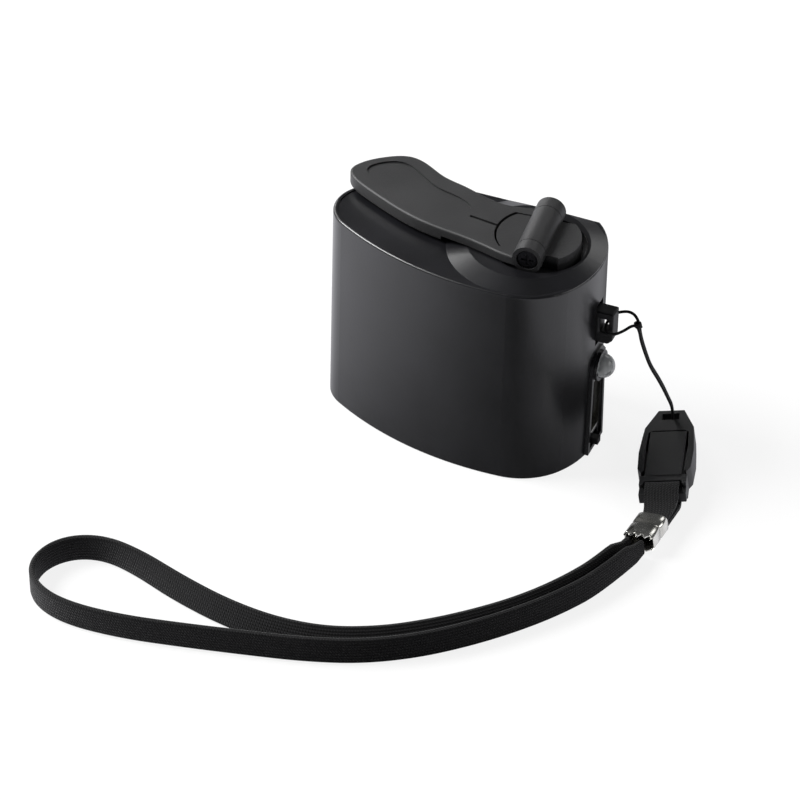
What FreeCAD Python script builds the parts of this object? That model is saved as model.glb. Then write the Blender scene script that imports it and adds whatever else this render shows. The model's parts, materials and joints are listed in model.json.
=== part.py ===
import FreeCAD, Part
import Sketcher
import math
import os

V = FreeCAD.Vector

# Hand crank phone charger. Millimetres, +Z up, the base stands on z = 0.
# +X is the long axis, towards the end with the lamp, the socket and the lanyard lug.
# The two half shells meet on the plane y = 0, and the crank turns about the vertical hub axis.

SIZES = {
    # Body outline seen from above
    "body_length": 56.0,
    "half_width": 17.0,
    "widest_at": 10.4,
    "nose_radius": 8.4,
    "end_radius": 19.8,
    "corner_radius": 13.5,
    # Heights of the housing
    "floor_thick": 1.4,
    "wall_thick": 1.6,
    "lower_wall": 2.8,
    "ledge_height": 28.6,
    "ceiling_height": 41.4,
    "recess_floor": 43.0,
    "deck_height": 44.6,
    "turret_height": 45.8,
    "turret_x": 12.6,
    "turret_base": 16.2,
    "turret_top": 12.2,
    "slope_start": 13.1,
    "slope_angle": 40.0,
    "edge_round": 0.5,
    "lip_width": 0.9,
    "lip_depth": 0.2,
    # Crank hub
    "hub_x": 14.7,
    "crank_turn": 5.0,
    "recess_radius": 9.6,
    "rotor_radius": 8.35,
    "rotor_bottom": 43.35,
    "rotor_top": 47.8,
    "barrel_radius": 3.0,
    "barrel_height": 48.0,
    "knuckle_half": 5.8,
    "ear_start": 5.95,
    "ear_end": 8.9,
    "notch_reach": 5.5,
    "notch_floor": 44.7,
    "pin_radius": 1.0,
    "pin_clearance": 0.05,
    "pin_head_radius": 1.9,
    "pin_head_thick": 0.7,
    # Crank arm
    "arm_bottom": 46.15,
    "arm_top": 48.0,
    "arm_round": 0.45,
    "skirt_bottom": 45.1,
    "skirt_clear": 19.2,
    "fork_radius": 8.8,
    "slot_width": 0.6,
    "panel_depth": 0.3,
    # Finger knob under the arm
    "knob_radius": 5.9,
    "knob_bottom": 44.95,
    "knob_top": 46.65,
    "knob_dish": 0.6,
    "knob_screw_radius": 0.8,
    "knob_thread": 0.6,
    "knob_x": -32.5,
    "knob_y": 9.8,
    # Shafts and gears
    "shaft_radius": 1.5,
    "shaft_bottom": 28.8,
    "shaft_top": 46.0,
    "bush_radius": 2.6,
    "bush_flange": 4.2,
    "running_gap": 0.05,
    "gear_module": 0.7,
    "crank_teeth": 30,
    "first_teeth": 28,
    "second_teeth": 26,
    "pinion_teeth": 10,
    "first_turn": 168.0,
    "second_drop": 3.9,
    "generator_turn": -8.0,
    "axle_radius": 0.75,
    "plate_thick": 1.6,
    "gear_thick": 1.6,
    "first_level": 36.9,
    "second_level": 34.0,
    "third_level": 31.2,
    "post_radius": 1.5,
    # Generator
    "generator_radius": 9.5,
    "generator_height": 21.0,
    "can_wall": 0.8,
    "generator_shaft": 1.0,
    # End panel and what it holds
    "panel_back": 26.4,
    "panel_face": 28.4,
    "panel_half_low": 4.2,
    "panel_half_high": 3.5,
    "panel_bottom": 0.6,
    "panel_shoulder": 22.2,
    "panel_peak": 24.4,
    "panel_rim": 0.9,
    "panel_sink": 0.5,
    "led_height": 20.4,
    "led_radius": 2.5,
    "led_tip": 31.6,
    "usb_bottom": 4.2,
    "usb_length": 13.1,
    "usb_thick": 5.7,
    "usb_depth": 13.4,
    "switch_height": 2.65,
    "slider_tip": 29.5,
    "slider_width": 1.6,
    "slider_travel": 2.0,
    # Circuit board
    "board_y": 2.85,
    "board_thick": 1.2,
    "board_left": 13.6,
    "board_right": 24.5,
    "board_bottom": 4.0,
    "board_top": 23.8,
    # Lanyard lug
    "lug_bottom": 26.0,
    "lug_top": 35.8,
    "lug_root": 25.6,
    "lug_tip": 31.6,
    "lug_half": 1.8,
    "lug_flange_left": 25.3,
    "lug_flange_right": 26.15,
    "lug_flange_bottom": 30.4,
    "lug_hole_left": 28.5,
    "lug_hole_right": 30.5,
    "lug_hole_bottom": 28.6,
    "lug_hole_top": 33.4,
    # Housing screws
    "screw_radius": 0.95,
    "screw_head": 1.6,
    "boss_radius": 2.3,
    # Lanyard
    "string_thick": 0.6,
    "tie_radius": 0.8,
    "strap_width": 5.4,
    "strap_thick": 1.2,
    "buckle_thick": 4.6,
    "buckle_turn": -75.0,
    "buckle_roll": 9.0,
    "buckle_slot": 1.5,
    "crimp_length": 9.6,
    "crimp_width": 7.0,
    "crimp_thick": 4.4,
    "crimp_wall": 0.45,
    "crimp_turn": -94.0,
}

doc = FreeCAD.newDocument("hand_crank_charger")
sheet = doc.addObject("Spreadsheet::Sheet", "Sizes")
for row, (alias, value) in enumerate(SIZES.items(), start=1):
    sheet.set("A%d" % row, alias.replace("_", " "))
    sheet.set("B%d" % row, str(value))
    sheet.setAlias("B%d" % row, alias)
doc.recompute()


def size(alias):
    """The number in a named cell."""
    return float(sheet.get(alias))


def bound(obj, bindings):
    """Tie properties of an object to sheet cells, with s. short for the sheet's name."""
    for prop, expression in bindings.items():
        obj.setExpression(prop, expression.replace("s.", "Sizes."))
    return obj


def place(obj, x="0", y="0", z="0"):
    return bound(obj, {"Placement.Base.x": x, "Placement.Base.y": y, "Placement.Base.z": z})


def box(name, length, width, height, x="0", y="0", z="0"):
    obj = doc.addObject("Part::Box", name)
    bound(obj, {"Length": length, "Width": width, "Height": height})
    return place(obj, x, y, z)


def cylinder(name, radius, height, x="0", y="0", z="0", along="z"):
    obj = doc.addObject("Part::Cylinder", name)
    bound(obj, {"Radius": radius, "Height": height})
    turns = {"z": V(0, 0, 1), "y": V(0, 1, 0), "x": V(1, 0, 0)}
    obj.Placement.Rotation = FreeCAD.Rotation(V(0, 0, 1), turns[along])
    return place(obj, x, y, z)


def cone(name, low, high, height, x="0", y="0", z="0"):
    obj = doc.addObject("Part::Cone", name)
    bound(obj, {"Radius1": low, "Radius2": high, "Height": height})
    return place(obj, x, y, z)


def fuse(name, *parts):
    obj = doc.addObject("Part::MultiFuse", name)
    obj.Shapes = list(parts)
    return obj


def common(name, *parts):
    obj = doc.addObject("Part::MultiCommon", name)
    obj.Shapes = list(parts)
    return obj


def cut(name, base, *tools):
    obj = doc.addObject("Part::Cut", name)
    obj.Base = base
    obj.Tool = tools[0] if len(tools) == 1 else fuse(name + "_tools", *tools)
    return obj


def solid(name, shape):
    """A piece whose form neither primitives nor sketches suit."""
    obj = doc.addObject("Part::Feature", name)
    obj.Shape = shape
    return obj


def extrude(name, wire, z, height):
    """A flat closed outline drawn at z = 0 and raised between two sheet heights."""
    face = solid(name + "_outline", Part.Face(wire))
    obj = doc.addObject("Part::Extrusion", name)
    obj.Base = face
    obj.DirMode = "Custom"
    obj.Dir = V(0, 0, 1)
    obj.Solid = False
    bound(obj, {"LengthFwd": height})
    return place(obj, "0", "0", z)


def turned(obj, angle="s.crank_turn", x="s.hub_x"):
    """Turn a crank piece about the hub axis, from its own frame to the rest position."""
    obj.Placement.Rotation = FreeCAD.Rotation(V(0, 0, 1), size(angle[2:]))
    return place(obj, x)


NODES = []


def node(obj, label):
    obj.Label = label
    NODES.append(obj)
    return obj


# Outlines

def arc_between(centre, radius, start, end):
    """The arc about centre from one angle to another, angles in radians."""
    spots = [centre + V(math.cos(a), math.sin(a), 0) * radius for a in (start, (start + end) / 2, end)]
    return Part.Arc(*spots).toShape()


def body_wire(inset=0.0):
    """The body's outline: a nose arc, two side arcs, two corner arcs and the end arc, all tangent."""
    half = size("half_width") - inset
    nose = size("nose_radius") - inset
    end = size("end_radius") - inset
    corner = size("corner_radius") - inset
    nose_centre = V(-size("body_length") / 2 + size("nose_radius"), 0, 0)
    end_centre = V(size("body_length") / 2 - size("end_radius"), 0, 0)
    reach = size("widest_at") - nose_centre.x
    side = (reach ** 2 + half ** 2 - nose ** 2) / (2 * (half - nose))
    side_centre = V(size("widest_at"), half - side, 0)
    near, far = side - corner, end - corner
    line = end_centre - side_centre
    along = (near ** 2 - far ** 2 + line.Length ** 2) / (2 * line.Length)
    up = math.sqrt(near ** 2 - along ** 2)
    unit = line / line.Length
    corner_centre = side_centre + unit * along + V(unit.y, -unit.x, 0) * up

    def heading(start, finish):
        return math.atan2(finish.y - start.y, finish.x - start.x)

    end_turn = heading(end_centre, corner_centre)
    side_turn = heading(side_centre, corner_centre)
    nose_turn = heading(side_centre, nose_centre)
    nose_turn += 2 * math.pi if nose_turn < 0 else 0
    upper = [
        arc_between(end_centre, end, 0, end_turn),
        arc_between(corner_centre, corner, end_turn, side_turn),
        arc_between(side_centre, side, side_turn, nose_turn),
        arc_between(nose_centre, nose, nose_turn, math.pi),
    ]
    lower = [edge.mirror(V(0, 0, 0), V(0, 1, 0)) for edge in upper]
    return Part.Wire(Part.__sortEdges__(upper + lower))


def smooth_wire(points, closed=True):
    """A smooth curve through points, closed on itself or with a straight closing line."""
    curve = Part.BSplineCurve()
    curve.interpolate([V(x, y, 0) for x, y in points], closed)
    edges = [curve.toShape()]
    if not closed:
        edges.append(Part.makeLine(curve.EndPoint, curve.StartPoint))
    return Part.Wire(edges)


def polygon(points):
    spots = [V(*p) if len(p) == 3 else V(p[0], p[1], 0) for p in points]
    return Part.makePolygon(spots + spots[:1])


# Housing: two half shells

def housing():
    """Both shells as one closed form, hollowed and bored, before it is split on y = 0."""
    prism = rounded_rims(extrude("body_prism", body_wire(), "0", "s.deck_height"))
    deck = extrude("deck_step", body_wire(size("lip_width")), "s.deck_height - s.lip_depth", "3")
    tall = extrude("body_tall", body_wire(0.15), "0", "s.turret_height")
    frustum = cone("turret_cone", "s.turret_base", "s.turret_top",
                   "s.turret_height - s.deck_height + s.lip_depth", "s.turret_x", "0",
                   "s.deck_height - s.lip_depth")
    turret = rounded_top(common("turret", frustum, tall))
    outer = cut("outer", fuse("outer_blank", cut("stepped_prism", prism, deck), turret), rear_slope())
    low_room = extrude("low_room", body_wire(size("lower_wall")), "s.floor_thick",
                       "s.ledge_height - s.floor_thick")
    high_room = extrude("high_room", body_wire(size("wall_thick")), "s.ledge_height",
                        "s.ceiling_height - s.ledge_height")
    recess = cylinder("recess", "s.recess_radius", "5", "s.hub_x", "0", "s.recess_floor")
    bush_hole = cylinder("bush_hole", "s.bush_radius", "3", "s.hub_x", "0", "s.ceiling_height - 0.5")
    window = box("end_window", "6", "6", "s.led_height + 3 - 3.9", "s.panel_back - 4", "-3", "3.9")
    switch_window = box("switch_window", "6", "7.1", "2.6", "s.panel_back - 4", "-3.55",
                        "s.floor_thick")
    lug_slot = box("lug_slot", "8", "2 * s.lug_half", "s.lug_top - s.lug_bottom",
                   "s.body_length / 2 - 5", "-s.lug_half", "s.lug_bottom")
    seat = panel_blank("panel_seat", "s.panel_back", "5", 0.0)
    bosses = []
    for number, (x, z) in enumerate(SCREW_SPOTS):
        pillar = cylinder("boss_%d" % number, "s.boss_radius", "2 * s.half_width", x,
                          "-s.half_width", z, "y")
        bosses.append(pillar)
    pillars = common("bosses", fuse("boss_group", *bosses), fuse("rooms", low_room, high_room))
    shell = cut("hollow", outer, low_room, high_room, recess, bush_hole, window,
                switch_window, lug_slot, seat)
    holes = []
    for number, (x, z) in enumerate(SCREW_SPOTS):
        holes.append(cylinder("screw_hole_%d" % number, "s.screw_radius", "s.half_width + 4", x,
                              "-4", z, "y"))
        holes.append(cylinder("screw_sink_%d" % number, "s.screw_head + 0.15", "s.half_width", x,
                              "4.5", z, "y"))
    return cut("housing", fuse("shell_with_bosses", shell, pillars), *holes)


def rear_slope():
    """What lies above the slope that runs down from the deck to the rear wall."""
    above = box("rear_slope", "90", "30", "10")
    above.Placement.Rotation = FreeCAD.Rotation(V(1, 0, 0), -size("slope_angle"))
    return place(above, "-45", "s.slope_start - 6 * cos(s.slope_angle * 1 deg)",
                 "s.deck_height + 6 * sin(s.slope_angle * 1 deg)")


def rounded_rims(prism):
    """Round the top and bottom rims of the body."""
    doc.recompute()
    rounded = doc.addObject("Part::Fillet", "rounded_body")
    rounded.Base = prism
    rims = [number for number, edge in enumerate(prism.Shape.Edges, start=1)
            if edge.BoundBox.ZLength < 0.01]
    rounded.Edges = [(number, size("edge_round"), size("edge_round")) for number in rims]
    return rounded


def rounded_top(turret):
    """Round the top edge of the raised ring around the crank."""
    doc.recompute()
    rounded = doc.addObject("Part::Fillet", "rounded_turret")
    rounded.Base = turret
    rims = [number for number, edge in enumerate(turret.Shape.Edges, start=1)
            if edge.BoundBox.ZMin > size("turret_height") - 0.01]
    rounded.Edges = [(number, 0.35, 0.35) for number in rims]
    return rounded


def panel_wire(grow):
    """The end panel's outline in the plane across the body: sides that taper up to a peak."""
    low = size("panel_half_low") + grow
    high = size("panel_half_high") + grow
    points = [
        (0, -low, size("panel_bottom") - grow),
        (0, low, size("panel_bottom") - grow),
        (0, high, size("panel_shoulder")),
        (0, high * 0.45, size("panel_peak") + grow),
        (0, -high * 0.45, size("panel_peak") + grow),
        (0, -high, size("panel_shoulder")),
    ]
    return polygon(points)


def panel_blank(name, x, thick, grow):
    face = solid(name + "_outline", Part.Face(panel_wire(grow)))
    obj = doc.addObject("Part::Extrusion", name)
    obj.Base = face
    obj.DirMode = "Custom"
    obj.Dir = V(1, 0, 0)
    bound(obj, {"LengthFwd": thick})
    return place(obj, x)


SCREW_SPOTS = [("-21", "6.4"), ("-21", "24.4"), ("21.2", "26.3")]


def shells():
    whole = housing()
    rib = box("board_rib", "8", "s.board_thick + 1.2", "s.board_bottom - s.floor_thick + 0.35",
              "s.board_left + 0.4", "s.board_y - 0.6", "s.floor_thick - 0.2")
    groove = box("rib_groove", "8", "s.board_thick", "2", "s.board_left + 0.4", "s.board_y",
                 "s.board_bottom")
    rear_side = box("rear_side", "80", "40", "80", "-40", "0", "-1")
    front_side = box("front_side", "80", "40", "80", "-40", "-40", "-1")
    rear = common("rear_half", whole, rear_side)
    node(cut("rear_with_rib", fuse("rear_ribbed", rear, rib), groove), "rear_shell")
    node(common("front_half", whole, front_side), "front_shell")


def housing_screws():
    """Three pan head screws from the rear shell into the front shell's bosses."""
    screws = []
    for number, (x, z) in enumerate(SCREW_SPOTS):
        shank = cylinder("shank_%d" % number, "s.screw_radius - 0.05", "8.3", x, "-3.8", z, "y")
        head = cylinder("head_%d" % number, "s.screw_head", "1.3", x, "4.5", z, "y")
        slot = box("cross_a_%d" % number, "2.2", "0.6", "0.45", x + " - 1.1", "5.2", z + " - 0.225")
        other = box("cross_b_%d" % number, "0.45", "0.6", "2.2", x + " - 0.225", "5.2", z + " - 1.1")
        screws.append(cut("screw_%d" % number, fuse("blank_%d" % number, shank, head), slot, other))
    node(fuse("screws", *screws), "housing_screws")


# Lanyard lug, made as a body with sketches

def origin_plane(body, role):
    for feature in body.Origin.OriginFeatures:
        if feature.Role == role:
            return feature


def sketch_on(body, role, name):
    sketch = body.newObject("Sketcher::SketchObject", name)
    sketch.AttachmentSupport = [(origin_plane(body, role), "")]
    sketch.MapMode = "FlatFace"
    return sketch


def rectangle(sketch, left, right, low, high):
    """A rectangle whose four sides are tied to sheet cells by their distances from the origin."""
    values = {}
    for key, expression in {"left": left, "right": right, "low": low, "high": high}.items():
        values[key] = cell_value(expression)
    corners = [V(values["left"], values["low"], 0), V(values["right"], values["low"], 0),
               V(values["right"], values["high"], 0), V(values["left"], values["high"], 0)]
    first = sketch.GeometryCount
    for number in range(4):
        sketch.addGeometry(Part.LineSegment(corners[number], corners[(number + 1) % 4]), False)
    for number in range(4):
        follower = first + (number + 1) % 4
        sketch.addConstraint(Sketcher.Constraint("Coincident", first + number, 2, follower, 1))
    for number, kind in enumerate(["Horizontal", "Vertical", "Horizontal", "Vertical"]):
        sketch.addConstraint(Sketcher.Constraint(kind, first + number))
    ties = [("DistanceX", first, 1, left), ("DistanceX", first + 2, 1, right),
            ("DistanceY", first, 1, low), ("DistanceY", first + 2, 1, high)]
    for kind, line, end, expression in ties:
        index = sketch.addConstraint(Sketcher.Constraint(kind, -1, 1, line, end,
                                                         cell_value(expression)))
        sketch.setExpression("Constraints[%d]" % index, expression.replace("s.", "Sizes."))


def cell_value(expression):
    """The value of a plain sum of cells, such as s.lug_top or -s.lug_half."""
    total = 0.0
    for term in expression.replace("-", "+-").split("+"):
        term = term.strip()
        if term:
            sign = -1.0 if term.startswith("-") else 1.0
            total += sign * size(term.lstrip("- ")[2:])
    return total


def lanyard_lug():
    """A moulded eye whose root is clamped between the shells; the string goes through it along Y."""
    body = doc.addObject("PartDesign::Body", "lug_body")
    outline = sketch_on(body, "XZ_Plane", "lug_outline")
    rectangle(outline, "s.lug_root", "s.lug_tip", "s.lug_bottom", "s.lug_top")
    rectangle(outline, "s.lug_hole_left", "s.lug_hole_right", "s.lug_hole_bottom", "s.lug_hole_top")
    pad = body.newObject("PartDesign::Pad", "lug_pad")
    pad.Profile = outline
    pad.Midplane = True
    bound(pad, {"Length": "2 * s.lug_half"})
    flange_outline = sketch_on(body, "XZ_Plane", "flange_outline")
    rectangle(flange_outline, "s.lug_flange_left", "s.lug_flange_right", "s.lug_flange_bottom",
              "s.lug_top")
    flange = body.newObject("PartDesign::Pad", "lug_flange")
    flange.Profile = flange_outline
    flange.Midplane = True
    bound(flange, {"Length": "2 * s.lug_half + 2"})
    pad = flange
    doc.recompute()
    corners = []
    for number, edge in enumerate(pad.Shape.Edges, start=1):
        middle = edge.CenterOfMass
        upright = abs(edge.BoundBox.YLength - 2 * size("lug_half")) < 0.01
        if upright and middle.x > size("lug_tip") - 0.1:
            corners.append("Edge%d" % number)
    rounds = body.newObject("PartDesign::Fillet", "lug_rounds")
    rounds.Base = (pad, corners)
    rounds.Radius = 1.1
    doc.recompute()
    body.Tip = rounds
    return body


# Crank: rotor, shaft, bush, arm, hinge pin, knob

ARM_FRONT = [(0.0, -8.9), (-2.6, -8.7), (-5.0, -8.2), (-8.4, -7.0), (-12.4, -5.6), (-19.0, -3.9),
             (-24.6, -2.1), (-32.0, 1.7), (-37.7, 5.3)]
ARM_TIP = [(-40.6, 7.8), (-41.5, 10.0), (-40.4, 12.6)]
ARM_REAR = [(-36.6, 15.9), (-31.2, 17.8), (-27.2, 16.2), (-23.2, 13.4), (-18.2, 11.4), (-12.6, 8.9),
            (-8.2, 8.0), (-4.4, 8.3), (0.0, 8.9)]
ARM_PANEL = [(-15.6, 1.6), (-18.6, -0.4), (-24.7, 1.4), (-30.0, 4.0), (-36.4, 8.3), (-38.4, 11.0),
             (-36.2, 14.0), (-31.8, 15.2), (-28.4, 13.2), (-22.8, 9.0), (-18.0, 7.2), (-15.2, 4.6)]
ARM_HOLLOW = [(-15.0, 3.0), (-15.6, -1.6), (-18.6, -2.7), (-24.1, -0.9), (-31.4, 2.9), (-36.9, 6.4),
              (-39.4, 8.5), (-40.1, 10.1), (-39.2, 11.9), (-35.9, 14.6), (-31.3, 16.4), (-28.0, 15.1),
              (-23.8, 12.2), (-18.7, 10.1), (-15.8, 8.0)]
SLOT_START = V(-8.2, 0.45, 0)
SLOT_END = V(-14.4, 1.9, 0)


def barrel(name, start, end, radius="s.barrel_radius"):
    """A cylinder along the hinge line, from one distance out along Y to another."""
    return cylinder(name, radius, "(" + end + ") - (" + start + ")", "0", start,
                    "s.barrel_height", "y")


def rotor():
    disc = cylinder("rotor_disc", "s.rotor_radius", "s.rotor_top - s.rotor_bottom", "0", "0",
                    "s.rotor_bottom")
    knuckle = barrel("rotor_knuckle", "-s.knuckle_half", "s.knuckle_half")
    front = box("front_notch", "s.notch_reach + 12", "8", "6", "-12", "-s.knuckle_half - 8.1",
                "s.notch_floor")
    rear = box("rear_notch", "s.notch_reach + 12", "8", "6", "-12", "s.knuckle_half + 0.1",
               "s.notch_floor")
    bore = barrel("rotor_bore", "-9", "9", "s.pin_radius + s.pin_clearance")
    socket = cylinder("shaft_socket", "s.shaft_radius", "s.shaft_top - s.rotor_bottom", "0", "0",
                      "s.rotor_bottom")
    body = cut("rotor_blank", disc, front, rear)
    node(turned(cut("rotor_done", fuse("rotor_joined", body, knuckle), bore, socket)), "crank_rotor")


def shaft_and_bush():
    shaft = cylinder("shaft", "s.shaft_radius", "s.shaft_top - s.shaft_bottom", "s.hub_x", "0",
                     "s.shaft_bottom")
    node(shaft, "crank_shaft")
    sleeve = cylinder("bush_sleeve", "s.bush_radius", "s.recess_floor - s.ceiling_height + s.plate_thick",
                      "s.hub_x", "0", "s.ceiling_height - s.plate_thick")
    flange = cylinder("bush_flange_disc", "s.bush_flange", "s.rotor_bottom - s.recess_floor - 0.05",
                      "s.hub_x", "0", "s.recess_floor")
    bore = cylinder("bush_bore", "s.shaft_radius + s.running_gap", "20", "s.hub_x", "0", "30")
    node(cut("bush", fuse("bush_blank", sleeve, flange), bore), "shaft_bush")


def crank_arm():
    outline = smooth_wire(ARM_FRONT + ARM_TIP + ARM_REAR, closed=False)
    block = extrude("arm_block", outline, "s.skirt_bottom", "s.arm_top - s.skirt_bottom")
    doc.recompute()
    rounded = doc.addObject("Part::Fillet", "arm_rounded")
    rounded.Base = block
    rims = [number for number, edge in enumerate(block.Shape.Edges, start=1)
            if edge.BoundBox.ZLength < 0.01 and edge.Length > 30]
    rounded.Edges = [(number, size("arm_round"), size("arm_round")) for number in rims]
    hollow = extrude("skirt_hollow", smooth_wire(ARM_HOLLOW), "s.skirt_bottom - 0.5",
                     "s.arm_bottom - s.skirt_bottom + 0.5")
    clear = cylinder("skirt_relief", "s.skirt_clear", "s.arm_bottom - s.skirt_bottom + 1", "0", "0",
                     "s.skirt_bottom - 1")
    ears = [barrel("front_ear", "-s.ear_end", "-s.ear_start"),
            barrel("rear_ear", "s.ear_start", "s.ear_end")]
    disc_room = cylinder("disc_room", "s.fork_radius", "10", "0", "0", "s.arm_bottom - 2")
    between = box("between_tines", "30", "2 * s.ear_start", "10", "-15", "-s.ear_start",
                  "s.arm_bottom - 2")
    fork_gap = common("fork_gap", disc_room, between)
    middle = box("middle_gap", "8", "2 * s.ear_start", "10", "-4", "-s.ear_start", "s.arm_bottom - 2")
    bore = barrel("arm_bore", "-12", "12", "s.pin_radius")
    front_sink = barrel("front_sink", "-s.ear_end - 1", "-s.ear_end + s.pin_head_thick + 0.2",
                        "s.pin_head_radius + 0.25")
    rear_sink = barrel("rear_sink", "s.ear_end - s.pin_head_thick - 0.2", "s.ear_end + 1",
                       "s.pin_head_radius + 0.25")
    relief = extrude("slot_relief", slot_wire(), "s.arm_bottom - 1", "5")
    panel = extrude("panel_recess", smooth_wire(ARM_PANEL), "s.arm_top - s.panel_depth", "2")
    pocket = cylinder("knob_pocket", "s.knob_radius + 0.35", "s.knob_top + 0.1 - s.skirt_bottom",
                      "s.knob_x", "s.knob_y", "s.skirt_bottom")
    screw_hole = cylinder("knob_screw_hole", "s.knob_screw_radius", "s.knob_thread", "s.knob_x",
                          "s.knob_y", "s.knob_top")
    plate = cut("arm_plate", rounded, hollow, clear, fork_gap, middle, relief, panel, pocket,
                screw_hole)
    done = cut("arm_done", fuse("arm_blank", plate, *ears), bore, front_sink, rear_sink)
    node(turned(done), "crank_arm")


def slot_wire():
    """The spring slot that runs out from the fork, with a round end."""
    along = (SLOT_END - SLOT_START).normalize()
    side = V(-along.y, along.x, 0) * (size("slot_width") / 2)
    tip = Part.Arc(SLOT_END + side, SLOT_END + along * (size("slot_width") / 2), SLOT_END - side)
    return Part.Wire([
        Part.makeLine(SLOT_START + side, SLOT_END + side),
        tip.toShape(),
        Part.makeLine(SLOT_END - side, SLOT_START - side),
        Part.makeLine(SLOT_START - side, SLOT_START + side),
    ])


def hinge_pin():
    """A steel pin across the fork, headed and cross cut at the front, riveted over at the rear."""
    shank = barrel("pin_shank", "-s.ear_end + s.pin_head_thick + 0.2",
                   "s.ear_end - s.pin_head_thick - 0.2", "s.pin_radius")
    front = barrel("pin_head", "-s.ear_end + 0.2", "-s.ear_end + s.pin_head_thick + 0.2",
                   "s.pin_head_radius")
    rear = barrel("pin_tail", "s.ear_end - s.pin_head_thick - 0.2", "s.ear_end - 0.2",
                  "s.pin_head_radius")
    upright = box("pin_cross_a", "0.5", "0.4", "2.4", "-0.25", "-s.ear_end + 0.1",
                  "s.barrel_height - 1.2")
    level = box("pin_cross_b", "2.4", "0.4", "0.5", "-1.2", "-s.ear_end + 0.1",
                "s.barrel_height - 0.25")
    node(turned(cut("pin", fuse("pin_blank", shank, front, rear), upright, level)), "hinge_pin")


def finger_knob():
    """A low turned knob under the arm's broad end, with a dished face for a fingertip."""
    disc = cylinder("knob_disc", "s.knob_radius", "s.knob_top - s.knob_bottom", "s.knob_x",
                    "s.knob_y", "s.knob_bottom")
    doc.recompute()
    rounded = doc.addObject("Part::Fillet", "knob_round")
    rounded.Base = disc
    rim = [number for number, edge in enumerate(disc.Shape.Edges, start=1)
           if edge.Curve.TypeId == "Part::GeomCircle" and edge.CenterOfMass.z < size("knob_bottom") + 0.1]
    rounded.Edges = [(number, 0.5, 0.5) for number in rim]
    dish = cone("knob_hollow", "s.knob_radius - 1.1", "s.knob_radius - 2.2", "s.knob_dish",
                "s.knob_x", "s.knob_y", "s.knob_bottom")
    hole = cylinder("knob_hole", "s.knob_screw_radius + s.running_gap", "4", "s.knob_x", "s.knob_y",
                    "s.knob_bottom")
    node(turned(cut("knob", rounded, dish, hole)), "finger_knob")
    head = cylinder("knob_head", "1.6", "s.knob_dish - 0.1", "s.knob_x", "s.knob_y",
                    "s.knob_bottom + 0.05")
    shank = cylinder("knob_shank", "s.knob_screw_radius", "s.knob_top - s.knob_bottom - s.knob_dish "
                     "+ s.knob_thread", "s.knob_x", "s.knob_y", "s.knob_bottom + s.knob_dish - 0.05")
    cross = box("knob_cross", "2", "0.4", "0.3", "s.knob_x - 1", "s.knob_y - 0.2", "s.knob_bottom")
    node(turned(cut("knob_screw_cut", fuse("knob_screw_blank", head, shank), cross)), "knob_screw")


# Gears

PRESSURE = math.radians(25)


def gear_wire(teeth, phase, centre):
    """A closed tooth outline: involute flanks in four steps, with a short addendum and backlash."""
    module = size("gear_module")
    pitch = module * teeth / 2
    base = pitch * math.cos(PRESSURE)
    tip = pitch + 0.75 * module
    root = pitch - 0.95 * module
    backlash = 0.14
    half_at_pitch = (math.pi * module / 2 - backlash) / (2 * pitch)

    def involute(radius):
        roll = math.sqrt(max((radius / base) ** 2 - 1, 0))
        return roll - math.atan(roll)

    start = max(base, root)
    steps = [start + (tip - start) * k / 4 for k in range(5)]
    points = []
    for tooth in range(teeth):
        middle = phase + 2 * math.pi * tooth / teeth
        flank = []
        for radius in steps:
            half = half_at_pitch + involute(pitch) - involute(radius)
            flank.append((radius, half))
        foot = (root, flank[0][1])
        if root < start:
            flank.insert(0, foot)
        points += [(radius, middle - half) for radius, half in flank]
        points += [(radius, middle + half) for radius, half in reversed(flank)]
    return polygon([(centre.x + r * math.cos(a), centre.y + r * math.sin(a)) for r, a in points])


def meshed(phase, teeth, start, other_teeth, finish):
    """The phase of a gear that meshes with another whose tooth phase is known."""
    line = math.atan2(finish.y - start.y, finish.x - start.x)
    return line + math.pi + math.pi / other_teeth - (phase - line) * teeth / other_teeth


def gear_places():
    module = size("gear_module")
    hub = V(size("hub_x"), 0, 0)
    turn = math.radians(size("first_turn"))
    first = hub + V(math.cos(turn), math.sin(turn), 0) * (
        module * (size("crank_teeth") + size("pinion_teeth")) / 2)
    reach = module * (size("first_teeth") + size("pinion_teeth")) / 2
    drop = size("second_drop")
    second = first + V(-math.sqrt(reach ** 2 - drop ** 2), -drop, 0)
    turn = math.radians(size("generator_turn"))
    generator = second + V(math.cos(turn), math.sin(turn), 0) * (
        module * (size("second_teeth") + size("pinion_teeth")) / 2)
    return hub, first, second, generator


HUB, FIRST, SECOND, GENERATOR = gear_places()


def spot_cylinder(name, spot, radius, z, height):
    """A vertical cylinder on a gear axis, whose place is worked out from the tooth counts."""
    obj = doc.addObject("Part::Cylinder", name)
    bound(obj, {"Radius": radius, "Height": height, "Placement.Base.z": z})
    obj.Placement.Base = V(spot.x, spot.y, obj.Placement.Base.z)
    return obj


def spot_box(name, spot, length, width, z, height):
    """A box with its near left corner at a spot that is worked out from the tooth counts."""
    obj = doc.addObject("Part::Box", name)
    bound(obj, {"Length": length, "Width": width, "Height": height, "Placement.Base.z": z})
    obj.Placement.Base = V(spot.x, spot.y, obj.Placement.Base.z)
    return obj


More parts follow.
